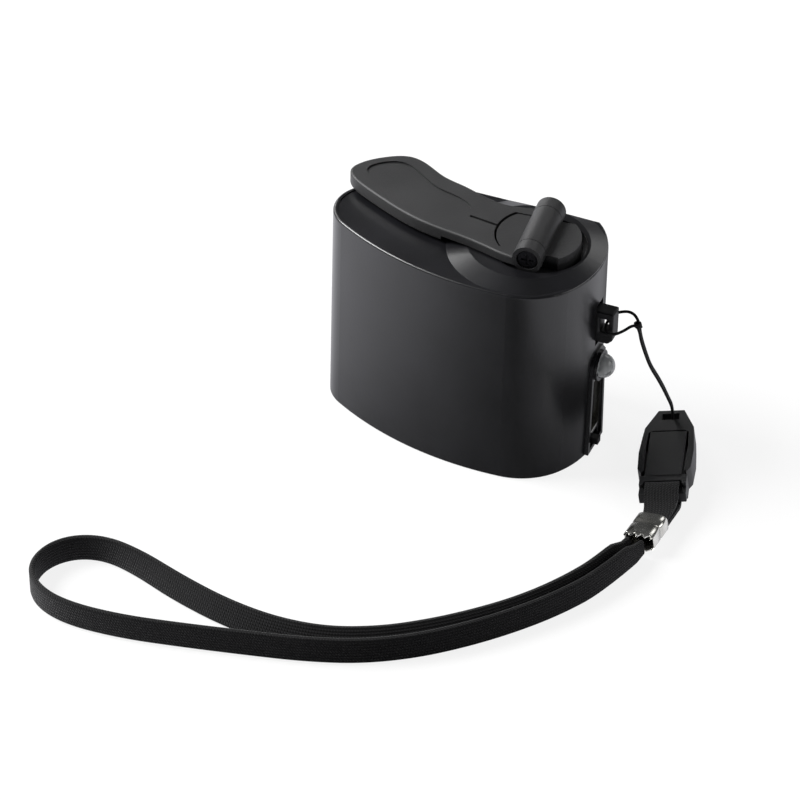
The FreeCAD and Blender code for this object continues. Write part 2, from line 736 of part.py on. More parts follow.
def gears():
    crank_n = int(size("crank_teeth"))
    first_n = int(size("first_teeth"))
    second_n = int(size("second_teeth"))
    pinion_n = int(size("pinion_teeth"))
    first_phase = meshed(0, crank_n, HUB, pinion_n, FIRST)
    second_phase = meshed(0, first_n, FIRST, pinion_n, SECOND)
    generator_phase = meshed(0, second_n, SECOND, pinion_n, GENERATOR)

    wheel = extrude("crank_wheel", gear_wire(crank_n, 0, HUB), "s.first_level", "s.gear_thick")
    hub = spot_cylinder("crank_wheel_hub", HUB, "3.2", "s.first_level + s.gear_thick", "1.1")
    bore = spot_cylinder("crank_wheel_bore", HUB, "s.shaft_radius", "30", "12")
    node(cut("crank_gear_done", fuse("crank_gear_blank", wheel, hub), bore), "crank_gear")

    compound("first_gear", FIRST, first_n, pinion_n, first_phase, "s.second_level",
             "s.first_level - 1.3", "3.3", "1.3")
    compound("second_gear", SECOND, second_n, pinion_n, second_phase, "s.third_level",
             "s.second_level - 1.2", "3.2", "1.6")
    pinion = extrude("generator_teeth", gear_wire(pinion_n, generator_phase, GENERATOR),
                     "s.third_level - 0.6", "2.6")
    bore = spot_cylinder("generator_pinion_bore", GENERATOR, "s.generator_shaft", "28", "8")
    node(cut("generator_pinion_done", pinion, bore), "generator_pinion")


def compound(label, spot, teeth, pinion_teeth, pinion_phase, level, pinion_level, pinion_height, neck):
    """A wheel and a pinion in one piece, turning on a fixed steel axle."""
    wheel = extrude(label + "_wheel", gear_wire(teeth, 0, spot), level, "s.gear_thick")
    pinion = extrude(label + "_pinion", gear_wire(pinion_teeth, pinion_phase, spot), pinion_level,
                     pinion_height)
    low = spot_cylinder(label + "_low", spot, neck, "s.ledge_height + s.plate_thick + 0.1",
                        level + " - s.ledge_height - s.plate_thick")
    high = spot_cylinder(label + "_high", spot, "1.6", pinion_level,
                         "s.ceiling_height - s.plate_thick - 0.1 - (" + pinion_level + ")")
    bore = spot_cylinder(label + "_bore", spot, "s.axle_radius + s.running_gap", "28", "14")
    node(cut(label + "_done", fuse(label + "_blank", wheel, pinion, low, high), bore), label)


def gearbox():
    """A base plate with posts and a cover plate; the axles stand between them."""
    clear = 0.1
    base = extrude("base_plate", body_wire(size("wall_thick") + clear), "s.ledge_height",
                   "s.plate_thick")
    cover = extrude("cover_plate", body_wire(size("wall_thick") + clear),
                    "s.ceiling_height - s.plate_thick", "s.plate_thick")
    posts = []
    holes = []
    screws = []
    gap = "s.ceiling_height - s.ledge_height - 2 * s.plate_thick"
    for number, (x, y) in enumerate(POSTS):
        spot = V(x, y, 0)
        posts.append(spot_cylinder("post_%d" % number, spot, "s.post_radius",
                                   "s.ledge_height + s.plate_thick", gap))
        holes.append(spot_cylinder("post_hole_%d" % number, spot, "0.7", "s.ceiling_height - 7", "8"))
        holes.append(spot_cylinder("post_sink_%d" % number, spot, "1.35", "s.ceiling_height - 0.8",
                                   "1"))
        shank = spot_cylinder("post_shank_%d" % number, spot, "0.7", "s.ceiling_height - 6.6", "6")
        head = spot_cylinder("post_head_%d" % number, spot, "1.3", "s.ceiling_height - 0.8", "0.7")
        screws.append(fuse("post_screw_%d" % number, shank, head))
    axle_holes = [
        spot_cylinder("axle_hole_1", FIRST, "s.axle_radius", "20", "30"),
        spot_cylinder("axle_hole_2", SECOND, "s.axle_radius", "20", "30"),
    ]
    shaft_hole = spot_cylinder("base_shaft_hole", HUB, "s.shaft_radius + s.running_gap", "20", "15")
    boss_hole = spot_cylinder("generator_boss_hole", GENERATOR, "3", "20", "15")
    bush_hole = spot_cylinder("cover_bush_hole", HUB, "s.bush_radius", "38", "6")
    mount_holes = []
    mount_screws = []
    for number, side in enumerate((-6, 6)):
        spot = GENERATOR + V(side, 0, 0)
        mount_holes.append(spot_cylinder("mount_hole_%d" % number, spot, "0.8", "20", "15"))
        shank = spot_cylinder("mount_shank_%d" % number, spot, "0.8", "s.ledge_height - 0.7",
                              "s.plate_thick + 0.7")
        head = spot_cylinder("mount_head_%d" % number, spot, "1.4", "s.ledge_height + s.plate_thick",
                             "0.6")
        mount_screws.append(fuse("mount_screw_%d" % number, shank, head))
    lug_notch = box("lug_notch", "4", "2 * s.lug_half + 0.6", "4", "s.lug_flange_left - 0.2",
                    "-s.lug_half - 0.3", "s.ledge_height - 1")
    blank = cut("base_notched", fuse("base_blank", base, *posts), lug_notch)
    node(cut("gearbox_base_done", blank, shaft_hole, boss_hole, *axle_holes, *mount_holes, *holes),
         "gearbox_base")
    node(cut("gearbox_cover_done", cover, bush_hole, *axle_holes, *holes), "gearbox_cover")
    node(fuse("gearbox_screw_set", *screws), "gearbox_screws")
    node(fuse("generator_screw_set", *mount_screws), "generator_screws")
    span = "s.ceiling_height - s.ledge_height"
    axles = [spot_cylinder("axle_1", FIRST, "s.axle_radius", "s.ledge_height", span),
             spot_cylinder("axle_2", SECOND, "s.axle_radius", "s.ledge_height", span)]
    node(fuse("axle_set", *axles), "gear_axles")


POSTS = [(9.5, 13.2), (9.5, -13.2), (-9.5, 10.4), (-4.6, -11.4), (-24.4, 0.0)]


# Generator

def generator():
    top = "s.ledge_height"
    low = "s.ledge_height - s.generator_height"
    can = spot_cylinder("can_outer", GENERATOR, "s.generator_radius", low, "s.generator_height")
    room = spot_cylinder("can_room", GENERATOR, "s.generator_radius - s.can_wall", low,
                         "s.generator_height - s.can_wall")
    nose = spot_cylinder("can_nose", GENERATOR, "3", top, "1")
    bore = spot_cylinder("can_bore", GENERATOR, "s.generator_shaft + s.running_gap", "20", "15")
    taps = [spot_cylinder("can_tap_%d" % n, GENERATOR + V(side, 0, 0), "0.8", "20", "15")
            for n, side in enumerate((-6, 6))]
    node(cut("can_done", fuse("can_blank", can, nose), room, bore, *taps), "generator_can")

    plug = spot_cylinder("cap_plug", GENERATOR, "s.generator_radius - s.can_wall", low, "1.2")
    rim = spot_cylinder("cap_rim", GENERATOR, "s.generator_radius", low + " - 1", "1")
    tabs = []
    for number, side in enumerate((-2.5, 2.5)):
        corner = GENERATOR + V(4, side - 0.9, 0)
        tabs.append(spot_box("tab_%d" % number, corner, "0.5", "1.8", low + " - 3.2", "2.2"))
    cap_bore = spot_cylinder("cap_bore", GENERATOR, "s.generator_shaft + s.running_gap", low, "5")
    node(cut("cap_done", fuse("cap_blank", plug, rim), cap_bore), "generator_cap")
    node(fuse("terminal_set", *tabs), "generator_terminals")

    node(spot_cylinder("armature_shaft", GENERATOR, "s.generator_shaft", low + " + 0.1",
                       "s.third_level + 2 - (" + low + " + 0.1)"), "generator_shaft")
    core = spot_cylinder("core_blank", GENERATOR, "6.3", low + " + 3.2", "14")
    slots = []
    for number in range(3):
        turn = math.radians(120 * number + 60)
        middle = GENERATOR + V(math.cos(turn), math.sin(turn), 0) * 5.6
        slots.append(spot_cylinder("core_slot_%d" % number, middle, "2.2", "5", "28"))
    core_bore = spot_cylinder("core_bore", GENERATOR, "s.generator_shaft", "5", "28")
    node(cut("core_done", core, core_bore, *slots), "generator_armature")

    ring = spot_cylinder("magnet_ring", GENERATOR, "s.generator_radius - s.can_wall", low + " + 3", "14.5")
    inner = spot_cylinder("magnet_inner", GENERATOR, "6.8", low + " + 2", "17")
    gap = spot_box("magnet_gap", GENERATOR + V(-20, -1.5, 0), "40", "3", low, "30")
    node(cut("magnets_done", ring, inner, gap), "generator_magnets")


# End panel, lamp, socket, switch and board

def end_panel():
    blank = panel_blank("panel_plate", "s.panel_back", "s.panel_face - s.panel_back", 0.0)
    sunk = panel_blank("panel_sunk", "s.panel_face - s.panel_sink", "2", -size("panel_rim"))
    lamp_hole = cylinder("lamp_hole", "s.led_radius + 0.05", "8", "s.panel_back - 2", "0",
                         "s.led_height", "x")
    usb_hole = box("usb_hole", "8", "s.usb_thick", "s.usb_length", "s.panel_back - 2",
                   "-s.usb_thick / 2", "s.usb_bottom")
    slot = box("switch_slot", "8", "s.slider_width + s.slider_travel + 0.4", "2.1",
               "s.panel_back - 2", "-s.slider_width / 2 - s.slider_travel / 2 - 0.2",
               "s.switch_height - 1.05")
    collar = cylinder("lamp_collar", "s.led_radius + 0.7", "s.panel_sink + 0.6",
                      "s.panel_face - s.panel_sink", "0", "s.led_height", "x")
    sunk_plate = cut("panel_open", blank, sunk, usb_hole, slot)
    node(cut("panel_done", fuse("panel_collared", sunk_plate, collar), lamp_hole), "end_panel")


def lamp():
    """A clear five millimetre lamp: a flange behind the panel, a barrel and a round tip."""
    start = size("panel_back")
    radius = size("led_radius")
    tip = size("led_tip")
    flange = radius + 0.4
    profile = Part.Wire([
        Part.makeLine(V(start - 1.4, 0, 0), V(start - 1.4, flange, 0)),
        Part.makeLine(V(start - 1.4, flange, 0), V(start, flange, 0)),
        Part.makeLine(V(start, flange, 0), V(start, radius, 0)),
        Part.makeLine(V(start, radius, 0), V(tip - radius, radius, 0)),
        Part.Arc(V(tip - radius, radius, 0), V(tip - radius + radius * math.sqrt(0.5),
                 radius * math.sqrt(0.5), 0), V(tip, 0, 0)).toShape(),
        Part.makeLine(V(tip, 0, 0), V(start - 1.4, 0, 0)),
    ])
    lens = solid("lamp_lens", Part.Face(profile).revolve(V(0, 0, 0), V(1, 0, 0), 360))
    place(lens, z="s.led_height")
    node(lens, "led_lens")
    legs = []
    for number, side in enumerate((-1.27, 1.27)):
        leg = box("leg_%d" % number, "2.6", "0.5", "0.5", "s.panel_back - 4", "-0.25",
                  "s.led_height - 0.25 + %.2f" % side)
        foot = box("foot_%d" % number, "0.5", "s.board_y + 0.25", "0.5", "s.panel_back - 4",
                   "-0.25", "s.led_height - 0.25 + %.2f" % side)
        legs.append(fuse("lead_%d" % number, leg, foot))
    node(fuse("lamp_leads", *legs), "led_leads")


def usb_socket():
    front = "s.panel_face - s.panel_sink"
    outer = box("usb_outer", "s.usb_depth", "s.usb_thick", "s.usb_length",
                front + " - s.usb_depth", "-s.usb_thick / 2", "s.usb_bottom")
    room = box("usb_room", "s.usb_depth", "s.usb_thick - 0.8", "s.usb_length - 0.8",
               front + " - s.usb_depth + 1", "-s.usb_thick / 2 + 0.4", "s.usb_bottom + 0.4")
    node(cut("usb_shell", outer, room), "usb_socket")
    block = box("usb_block", "3", "s.usb_thick - 0.8", "s.usb_length - 0.8",
                front + " - s.usb_depth + 1", "-s.usb_thick / 2 + 0.4", "s.usb_bottom + 0.4")
    tongue = box("usb_tongue_bar", "s.usb_depth - 2.2", "1.8", "s.usb_length - 2.6",
                 front + " - s.usb_depth + 1", "0.5", "s.usb_bottom + 1.3")
    node(fuse("usb_insert", block, tongue), "usb_tongue")
    pins = []
    for number in range(4):
        pins.append(box("pin_%d" % number, "7", "0.25", "1", front + " - s.usb_depth + 4.2", "0.25",
                        "s.usb_bottom + s.usb_length / 2 - 5.25 + %.2f" % (2.5 * number + 1)))
    node(fuse("usb_pins", *pins), "usb_contacts")


def switch():
    case = box("switch_case", "3", "7", "2.4", "s.panel_back - 3", "-3.5", "s.switch_height - 1.2")
    room = box("switch_room", "4", "s.slider_width + s.slider_travel + 0.4", "1.6",
               "s.panel_back - 1.2", "-s.slider_width / 2 - s.slider_travel / 2 - 0.2",
               "s.switch_height - 0.8")
    room_keep = box("switch_keep", "3", "2.99", "6", "s.panel_back - 6", "-5.99",
                    "s.switch_height - 3")
    node(cut("switch_done", case, room, room_keep), "switch_body")
    knob = box("slider_blank", "s.slider_tip - s.panel_back + 1", "s.slider_width", "1.4",
               "s.panel_back - 1", "-s.slider_width / 2 - s.slider_travel / 2",
               "s.switch_height - 0.7")
    node(knob, "switch_slider")


def board():
    plate = box("board_plate", "s.board_right - s.board_left", "s.board_thick",
                "s.board_top - s.board_bottom", "s.board_left", "s.board_y", "s.board_bottom")
    node(plate, "circuit_board")
    back = "s.board_y + s.board_thick"
    node(cylinder("capacitor_can", "3.15", "9", "18.4", back + " + 3.15", "6", "z"), "capacitor")
    diodes = []
    for number in range(4):
        diodes.append(box("diode_%d" % number, "4.2", "1.6", "1.9", "15", back,
                          "%.1f" % (15.4 + 2.1 * number)))
    node(fuse("diode_set", *diodes), "rectifier_diodes")
    node(box("regulator_body", "4.8", "1.5", "3.8", "14.8", "s.board_y - 1.5", "18.8"),
         "voltage_regulator")
    coil = cylinder("coil_core", "1.8", "2.4", "21.4", back, "18.4", "y")
    node(coil, "choke_coil")


# Wires and cords: straight runs joined by tangent arcs

def rounded_path(points, name):
    """A wire through points with each corner an arc as large as its two runs allow."""
    spots = [V(*p) for p in points]
    edges = []
    last = spots[0]
    radii = []
    for before, here, after in zip(spots, spots[1:], spots[2:]):
        back = (before - here)
        ahead = (after - here)
        run = min(back.Length, ahead.Length)
        back.normalize()
        ahead.normalize()
        half_turn = (math.pi - back.getAngle(ahead)) / 2
        tangent = 0.45 * run
        radius = tangent / math.tan(half_turn)
        start = here + back * tangent
        end = here + ahead * tangent
        inner = (back + ahead).normalize()
        centre = here + inner * (radius / math.cos(half_turn))
        middle = centre - inner * radius
        edges.append(Part.makeLine(last, start))
        edges.append(Part.Arc(start, middle, end).toShape())
        last = end
        radii.append(round(radius, 1))
    edges.append(Part.makeLine(last, spots[-1]))
    print(name, "bend radii in mm:", radii)
    return Part.Wire(edges)


def tube(name, points, section, area):
    """A section swept along a rounded path; the volume is compared with area times length."""
    path = rounded_path(points, name)
    pipe = path.makePipeShell([section], True, False)
    if pipe.Volume < 0:
        pipe.reverse()
    print(name, "volume", round(pipe.Volume, 1), "section x length", round(area * path.Length, 1),
          "length", round(path.Length, 1))
    return pipe


def round_section(start, towards, radius):
    direction = (V(*towards) - V(*start)).normalize()
    return Part.Wire([Part.makeCircle(radius, V(*start), direction)])


def flat_section(start, towards, thick, width):
    """A rectangle across a level run, with its long side upright."""
    direction = (V(*towards) - V(*start)).normalize()
    side = V(-direction.y, direction.x, 0) * (thick / 2)
    rise = V(0, 0, width / 2)
    centre = V(*start)
    corners = [centre + side + rise, centre - side + rise, centre - side - rise, centre + side - rise]
    return Part.makePolygon(corners + corners[:1])


WIRE_ROUTES = [
    [(5.3, -5.25, 5.6), (8.4, -5.1, 5.2), (10.9, -3.4, 5.6), (11.7, -0.2, 6.4), (12.1, 3.45, 7.3),
     (13.6, 3.45, 7.3)],
    [(5.3, -0.25, 5.6), (8.2, 0.1, 5.0), (10.3, 1.5, 4.8), (11.9, 3.45, 5.1), (13.6, 3.45, 5.1)],
]


def generator_leads():
    solids = []
    for number, route in enumerate(WIRE_ROUTES):
        section = round_section(route[0], route[1], 0.5)
        solids.append(tube("generator lead %d" % (number + 1), route, section, math.pi * 0.25))
    node(solid("lead_set", Part.makeCompound(solids)), "generator_leads")


STRING_FRONT = [(29.6, -0.2, 31.2), (29.7, -2.4, 30.8), (31.9, -2.7, 30.5), (33.6, -1.4, 31.2),
                (34.9, -0.6, 32.3), (35.8, -0.2, 32.2), (36.4, -0.15, 30.9), (36.8, -0.15, 28.8),
                (37.75, 0.65, 24.8), (38.6, 1.65, 21.4), (39.7, 3.05, 18.1), (40.4, 4.45, 15.1),
                (41.1, 6.05, 11.6), (41.5, 7.6, 8.6), (41.7, 8.15, 5.8), (41.65, 8.1, 3.6)]
STRING_REAR = [(29.6, -0.2, 31.2), (29.7, 2.2, 31.7), (31.7, 2.3, 32.8), (33.5, 1.5, 33.9),
               (35.0, 0.9, 33.9), (36.0, 0.65, 32.3), (36.5, 0.55, 29.4), (37.4, 1.3, 25.4),
               (38.2, 2.25, 21.8), (39.4, 3.65, 18.4), (40.2, 5.15, 15.1), (40.8, 6.75, 11.6),
               (41.25, 8.3, 8.6), (41.4, 8.8, 5.8), (41.35, 8.8, 3.6)]
STRAP_ROUTE = [(46.3, -29.6, 2.9), (44.3, -38.0, 2.9), (39.8, -47.6, 2.9), (34.2, -56.0, 2.9),
               (27.6, -63.2, 2.9), (20.4, -69.8, 2.9), (12.4, -75.6, 2.9), (3.0, -79.8, 2.9),
               (-7.4, -81.0, 2.9), (-18.2, -79.6, 2.9), (-29.0, -76.4, 2.9), (-39.0, -72.6, 2.9),
               (-46.6, -71.2, 2.9), (-52.6, -73.4, 2.9), (-56.2, -78.4, 2.9), (-56.4, -84.8, 2.9),
               (-52.4, -89.8, 2.9), (-45.2, -92.2, 2.9), (-34.2, -91.8, 2.9), (-22.6, -89.6, 2.9),
               (-10.8, -87.0, 2.9), (0.2, -84.4, 2.9), (10.4, -80.8, 2.9), (19.4, -75.2, 2.9),
               (27.2, -68.2, 2.9), (34.2, -60.4, 2.9), (40.4, -51.8, 2.9), (45.4, -42.2, 2.9),
               (48.9, -29.6, 2.9)]


def strings():
    radius = size("string_thick") / 2
    for label, route in (("string_front", STRING_FRONT), ("string_rear", STRING_REAR)):
        section = round_section(route[0], route[1], radius)
        pipe = tube(label, route, section, math.pi * radius ** 2)
        node(solid(label + "_tube", pipe), label)


def string_tie():
    """The knot that draws the two strands together below the lug."""
    knot = doc.addObject("Part::Sphere", "tie_ball")
    bound(knot, {"Radius": "s.tie_radius"})
    node(place(knot, "35.9", "0.2", "32.2"), "string_tie")


def wrist_strap():
    thick, width = size("strap_thick"), size("strap_width")
    section = flat_section(STRAP_ROUTE[0], STRAP_ROUTE[1], thick, width)
    pipe = tube("wrist_strap", STRAP_ROUTE, section, thick * width)
    node(solid("strap_tube", pipe), "wrist_strap")


# Buckle, webbing and crimp, drawn flat and then laid on the floor

BUCKLE_START = V(41.0, 10.4, 0.0)
CRIMP_CENTRE = V(48.1, -24.4, 0.0)


def laid(obj, origin, turn, lift, roll="0"):
    """Lay a piece drawn along +X on the floor: roll it about its length, then turn and lift it."""
    angle = FreeCAD.Rotation(V(0, 0, 1), turn)
    tilt = FreeCAD.Rotation(V(1, 0, 0), float(roll))
    obj.Placement = FreeCAD.Placement(V(origin.x, origin.y, lift), angle.multiply(tilt))
    return obj


def buckle():
    thick = size("buckle_thick")
    turn, roll = size("buckle_turn"), size("buckle_roll")
    lift = thick / 2 + 5.0 * math.sin(math.radians(roll)) + 0.1
    plug_outline = polygon([(0, -2.6), (0, 2.6), (5.6, 4.9), (9.0, 5.2), (13.5, 5.5), (18.6, 5.3),
                            (20.2, 4.5), (19.4, 4.0), (12.0, 4.2), (7.2, 4.0), (6.6, 3.2),
                            (6.6, -3.2), (7.2, -4.0), (12.0, -4.2), (19.4, -4.0), (20.2, -4.5),
                            (18.6, -5.3), (13.5, -5.5), (9.0, -5.2), (5.6, -4.9)])
    plate = extrude("plug_plate", plug_outline, "-s.buckle_thick / 2", "s.buckle_thick")
    tongue = box("plug_tongue", "10", "2.4", "1.6", "6", "-1.2", "-0.8")
    eye = box("plug_eye", "1.9", "3.4", "10", "1.1", "-1.7", "-5")
    node(laid(cut("plug_done", fuse("plug_blank", plate, tongue), eye), BUCKLE_START, turn, lift,
              roll), "buckle_plug")
    sleeve = box("socket_sleeve", "14.2", "7.4", "s.buckle_thick", "6.8", "-3.7",
                 "-s.buckle_thick / 2")
    yoke = box("socket_yoke", "2.9", "9.4", "s.buckle_thick - 0.6", "20.6", "-4.7",
               "-s.buckle_thick / 2 + 0.3")
    bar = box("socket_bar", "2.4", "9.4", "2.2", "23.2", "-4.7", "-1.1")
    pocket = box("socket_pocket", "13", "3.2", "2.2", "6", "-1.6", "-1.1")
    slot = box("socket_slot", "s.buckle_slot", "7.6", "10", "22.4", "-3.8", "-5")
    node(laid(cut("socket_done", fuse("socket_blank", sleeve, yoke, bar), pocket, slot), BUCKLE_START,
              turn, lift, roll), "buckle_socket")
    web = webbing_shape()
    node(laid(solid("webbing", web), BUCKLE_START, turn, lift, roll), "short_webbing")


def webbing_shape():
    """A short doubled webbing: it wraps the socket's bar and runs into the crimp's mouth."""
    side = polygon([(22.6, 0, -2.3), (26.4, 0, -2.3), (29.4, 0, -0.9), (36.0, 0, -0.9),
                    (36.0, 0, 0.9), (29.4, 0, 0.9), (26.4, 0, 2.3), (22.6, 0, 2.3)])
    eye = polygon([(23.7, 0, -1.3), (25.9, 0, -1.3), (25.9, 0, 1.3), (23.7, 0, 1.3)])
    plan = polygon([(22.6, 3.4), (27.0, 3.4), (31.6, 2.3), (35.4, 1.0), (33.6, -4.2), (29.8, -2.9),
                    (27.0, -3.4), (22.6, -3.4)])
    thick = Part.Face(side).extrude(V(0, 12, 0))
    opening = Part.Face(eye).extrude(V(0, 12, 0))
    loop = thick.cut(opening)
    loop.translate(V(0, -6, 0))
    wide = Part.Face(plan).extrude(V(0, 0, 8))
    wide.translate(V(0, 0, -4))
    return loop.common(wide)


def crimp():
    size_x, size_y, size_z = "s.crimp_length", "s.crimp_width", "s.crimp_thick"
    outer = box("crimp_outer", size_x, size_y, size_z, "-s.crimp_length / 2", "-s.crimp_width / 2",
                "-s.crimp_thick / 2")
    room = box("crimp_room", "s.crimp_length + 2", "s.crimp_width - 2 * s.crimp_wall",
               "s.crimp_thick - 2 * s.crimp_wall", "-s.crimp_length / 2 - 1",
               "-s.crimp_width / 2 + s.crimp_wall", "-s.crimp_thick / 2 + s.crimp_wall")
    seam = box("crimp_seam", "s.crimp_length + 2", "0.3", "s.crimp_thick", "-s.crimp_length / 2 - 1",
               "s.crimp_width / 2 - 1.6", "-s.crimp_thick")
    roll = size("buckle_roll")
    lift = size("crimp_thick") / 2 + size("crimp_width") / 2 * math.sin(math.radians(roll)) + 0.1
    node(laid(cut("crimp_done", outer, room, seam), CRIMP_CENTRE, size("crimp_turn"), lift, roll),
         "strap_crimp")


def build():
    shells()
    housing_screws()
    node(lanyard_lug(), "lanyard_lug")
    rotor()
    shaft_and_bush()
    crank_arm()
    hinge_pin()
    finger_knob()
    gears()
    gearbox()
    generator()
    end_panel()
    lamp()
    usb_socket()
    switch()
    board()
    generator_leads()
    strings()
    string_tie()
    buckle()
    crimp()
    wrist_strap()
    doc.recompute()


def check_and_write():
    for obj in doc.Objects:
        for state in obj.State:
            if state in ("Invalid", "Error"):
                raise RuntimeError("%s is %s" % (obj.Label, state))
    os.makedirs("parts", exist_ok=True)
    for obj in NODES:
        shape = obj.Shape
        if shape.isNull() or not shape.isValid() or not shape.Solids:
            raise RuntimeError("%s has no valid solid" % obj.Label)
        shape.exportStep(os.path.join("parts", obj.Label + ".step"))
        print("%-20s solids %d volume %.2f" % (obj.Label, len(shape.Solids), shape.Volume))


build()
check_and_write()
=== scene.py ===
import json
import math

import bmesh
import bpy
from mathutils import Matrix, Vector


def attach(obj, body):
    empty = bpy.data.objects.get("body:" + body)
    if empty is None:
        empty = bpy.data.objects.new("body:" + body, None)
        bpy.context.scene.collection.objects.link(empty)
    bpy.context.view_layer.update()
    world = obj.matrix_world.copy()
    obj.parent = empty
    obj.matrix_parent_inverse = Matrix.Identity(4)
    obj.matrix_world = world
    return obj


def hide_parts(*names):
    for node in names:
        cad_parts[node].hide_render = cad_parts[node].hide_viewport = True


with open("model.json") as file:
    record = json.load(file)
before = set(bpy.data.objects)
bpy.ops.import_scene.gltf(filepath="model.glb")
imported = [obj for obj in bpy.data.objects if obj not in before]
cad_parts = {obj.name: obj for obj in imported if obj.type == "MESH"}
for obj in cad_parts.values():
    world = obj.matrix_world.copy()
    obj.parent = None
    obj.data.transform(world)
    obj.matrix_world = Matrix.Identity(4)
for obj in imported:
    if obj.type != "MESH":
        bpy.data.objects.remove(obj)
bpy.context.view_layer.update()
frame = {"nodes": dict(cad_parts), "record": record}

MM = 0.001


# Camera: the angle, roll and lens of the photograph, with the image taken as 800 by 800

IMAGE = 800
SENSOR = 36
AZIMUTH = math.radians(20.83)
ELEVATION = math.radians(37.4)
ROLL = math.radians(1.49)
FOCAL_PIXELS = 5888.0
PIXELS_PER_MM = 5.04
TARGET = Vector((0, 0, 22)) * MM
TARGET_PIXEL = (465.33, 324.01)


def photograph_camera():
    """A camera that puts TARGET on TARGET_PIXEL at the photograph's angle and scale."""
    distance = FOCAL_PIXELS / PIXELS_PER_MM * MM
    away = Vector((-math.sin(AZIMUTH) * math.cos(ELEVATION),
                   math.cos(AZIMUTH) * math.cos(ELEVATION), -math.sin(ELEVATION)))
    right = Vector((math.cos(AZIMUTH), math.sin(AZIMUTH), 0))
    up = right.cross(away)
    rolled_right = right * math.cos(ROLL) + up * math.sin(ROLL)
    rolled_up = up * math.cos(ROLL) - right * math.sin(ROLL)
    across = (TARGET_PIXEL[0] - IMAGE / 2) / FOCAL_PIXELS * distance
    above = (IMAGE / 2 - TARGET_PIXEL[1]) / FOCAL_PIXELS * distance
    place = TARGET - away * distance - rolled_right * across - rolled_up * above
    data = bpy.data.cameras.new("photograph")
    data.sensor_width = SENSOR
    data.lens = FOCAL_PIXELS / IMAGE * SENSOR
    data.clip_start = 0.1
    data.clip_end = 10
    camera = bpy.data.objects.new("photograph", data)
    turn = Matrix((rolled_right, rolled_up, -away)).transposed().to_4x4()
    camera.matrix_world = Matrix.Translation(place) @ turn
    bpy.context.collection.objects.link(camera)
    bpy.context.scene.camera = camera


# Materials

ONE_BAND = 0.31416  # the scale at which a wave texture's bands lie one unit apart


def colour(code):
    """A colour from its sRGB hex value."""
    parts = [int(code[k:k + 2], 16) / 255 for k in (1, 3, 5)]
    return tuple(c / 12.92 if c <= 0.04045 else ((c + 0.055) / 1.055) ** 2.4 for c in parts) + (1.0,)


def add(tree, kind, values=None, **settings):
    """Add one node with its settings, its input values and its links."""
    new = tree.nodes.new(kind)
    for name, value in settings.items():
        setattr(new, name, value)
    for name, value in (values or {}).items():
        if isinstance(value, bpy.types.NodeSocket):
            tree.links.new(value, new.inputs[name])
        else:
            new.inputs[name].default_value = value
    return new


def material(name, values):
    """A new material with one shader, whose constant values are set on its own sockets."""
    new = bpy.data.materials.new(name)
    new.use_nodes = True
    tree = new.node_tree
    shader = tree.nodes["Principled BSDF"]
    for key, value in values.items():
        shader.inputs[key].default_value = value
    return new, tree, shader


def in_mm(tree, source="Object"):
    """Object or UV coordinates with one unit to a millimetre."""
    spot = add(tree, "ShaderNodeTexCoord")
    scaled = add(tree, "ShaderNodeVectorMath", {0: spot.outputs[source], 1: (1000, 1000, 1000)},
                 operation="MULTIPLY")
    return scaled.outputs[0]


def two_tones(tree, shader, fac, low, high, dark, light):
    """Vary the base colour between two tones."""
    ramp = add(tree, "ShaderNodeValToRGB", {"Fac": fac})
    ramp.color_ramp.elements[0].position = low
    ramp.color_ramp.elements[0].color = colour(dark)
    ramp.color_ramp.elements[1].position = high
    ramp.color_ramp.elements[1].color = colour(light)
    tree.links.new(ramp.outputs["Color"], shader.inputs["Base Color"])


def rough_between(tree, shader, fac, low, high):
    """Vary the roughness between two values."""
    spread = add(tree, "ShaderNodeMapRange", {"Value": fac, "To Min": low, "To Max": high})
    tree.links.new(spread.outputs["Result"], shader.inputs["Roughness"])


def raised(tree, shader, height, depth_mm):
    """Raise the surface by up to a depth in millimetres."""
    bump = add(tree, "ShaderNodeBump", {"Height": height, "Distance": depth_mm * MM,
                                        "Strength": 1.0})
    tree.links.new(bump.outputs["Normal"], shader.inputs["Normal"])


def plastic(name, dark, light, rough_low, rough_high, grain_mm, depth_mm, shine=0.5):
    """A plastic, or sintered ferrite, which looks much like one: a fine grain, and a few broad
    patches of a lighter tone and another gloss."""
    new, tree, shader = material(name, {"IOR": 1.5, "Specular IOR Level": shine})
    spot = in_mm(tree)
    patches = add(tree, "ShaderNodeTexNoise", {"Vector": spot, "Scale": 0.09, "Detail": 3.0})
    grain = add(tree, "ShaderNodeTexNoise", {"Vector": spot, "Scale": 1 / grain_mm, "Detail": 2.0})
    two_tones(tree, shader, patches.outputs["Fac"], 0.35, 0.7, dark, light)
    rough_between(tree, shader, patches.outputs["Fac"], rough_low, rough_high)
    raised(tree, shader, grain.outputs["Fac"], depth_mm)
    return new


def worked_metal(name, dark, light, rough):
    """Turned or drawn metal: fine marks, drawn as 0.3 mm noise, that break up its highlight."""
    new, tree, shader = material(name, {"Metallic": 1.0})
    spot = in_mm(tree)
    marks = add(tree, "ShaderNodeTexNoise", {"Vector": spot, "Scale": 3.3, "Detail": 4.0})
    two_tones(tree, shader, marks.outputs["Fac"], 0.3, 0.7, dark, light)
    rough_between(tree, shader, marks.outputs["Fac"], rough * 0.7, rough * 1.4)
    return new


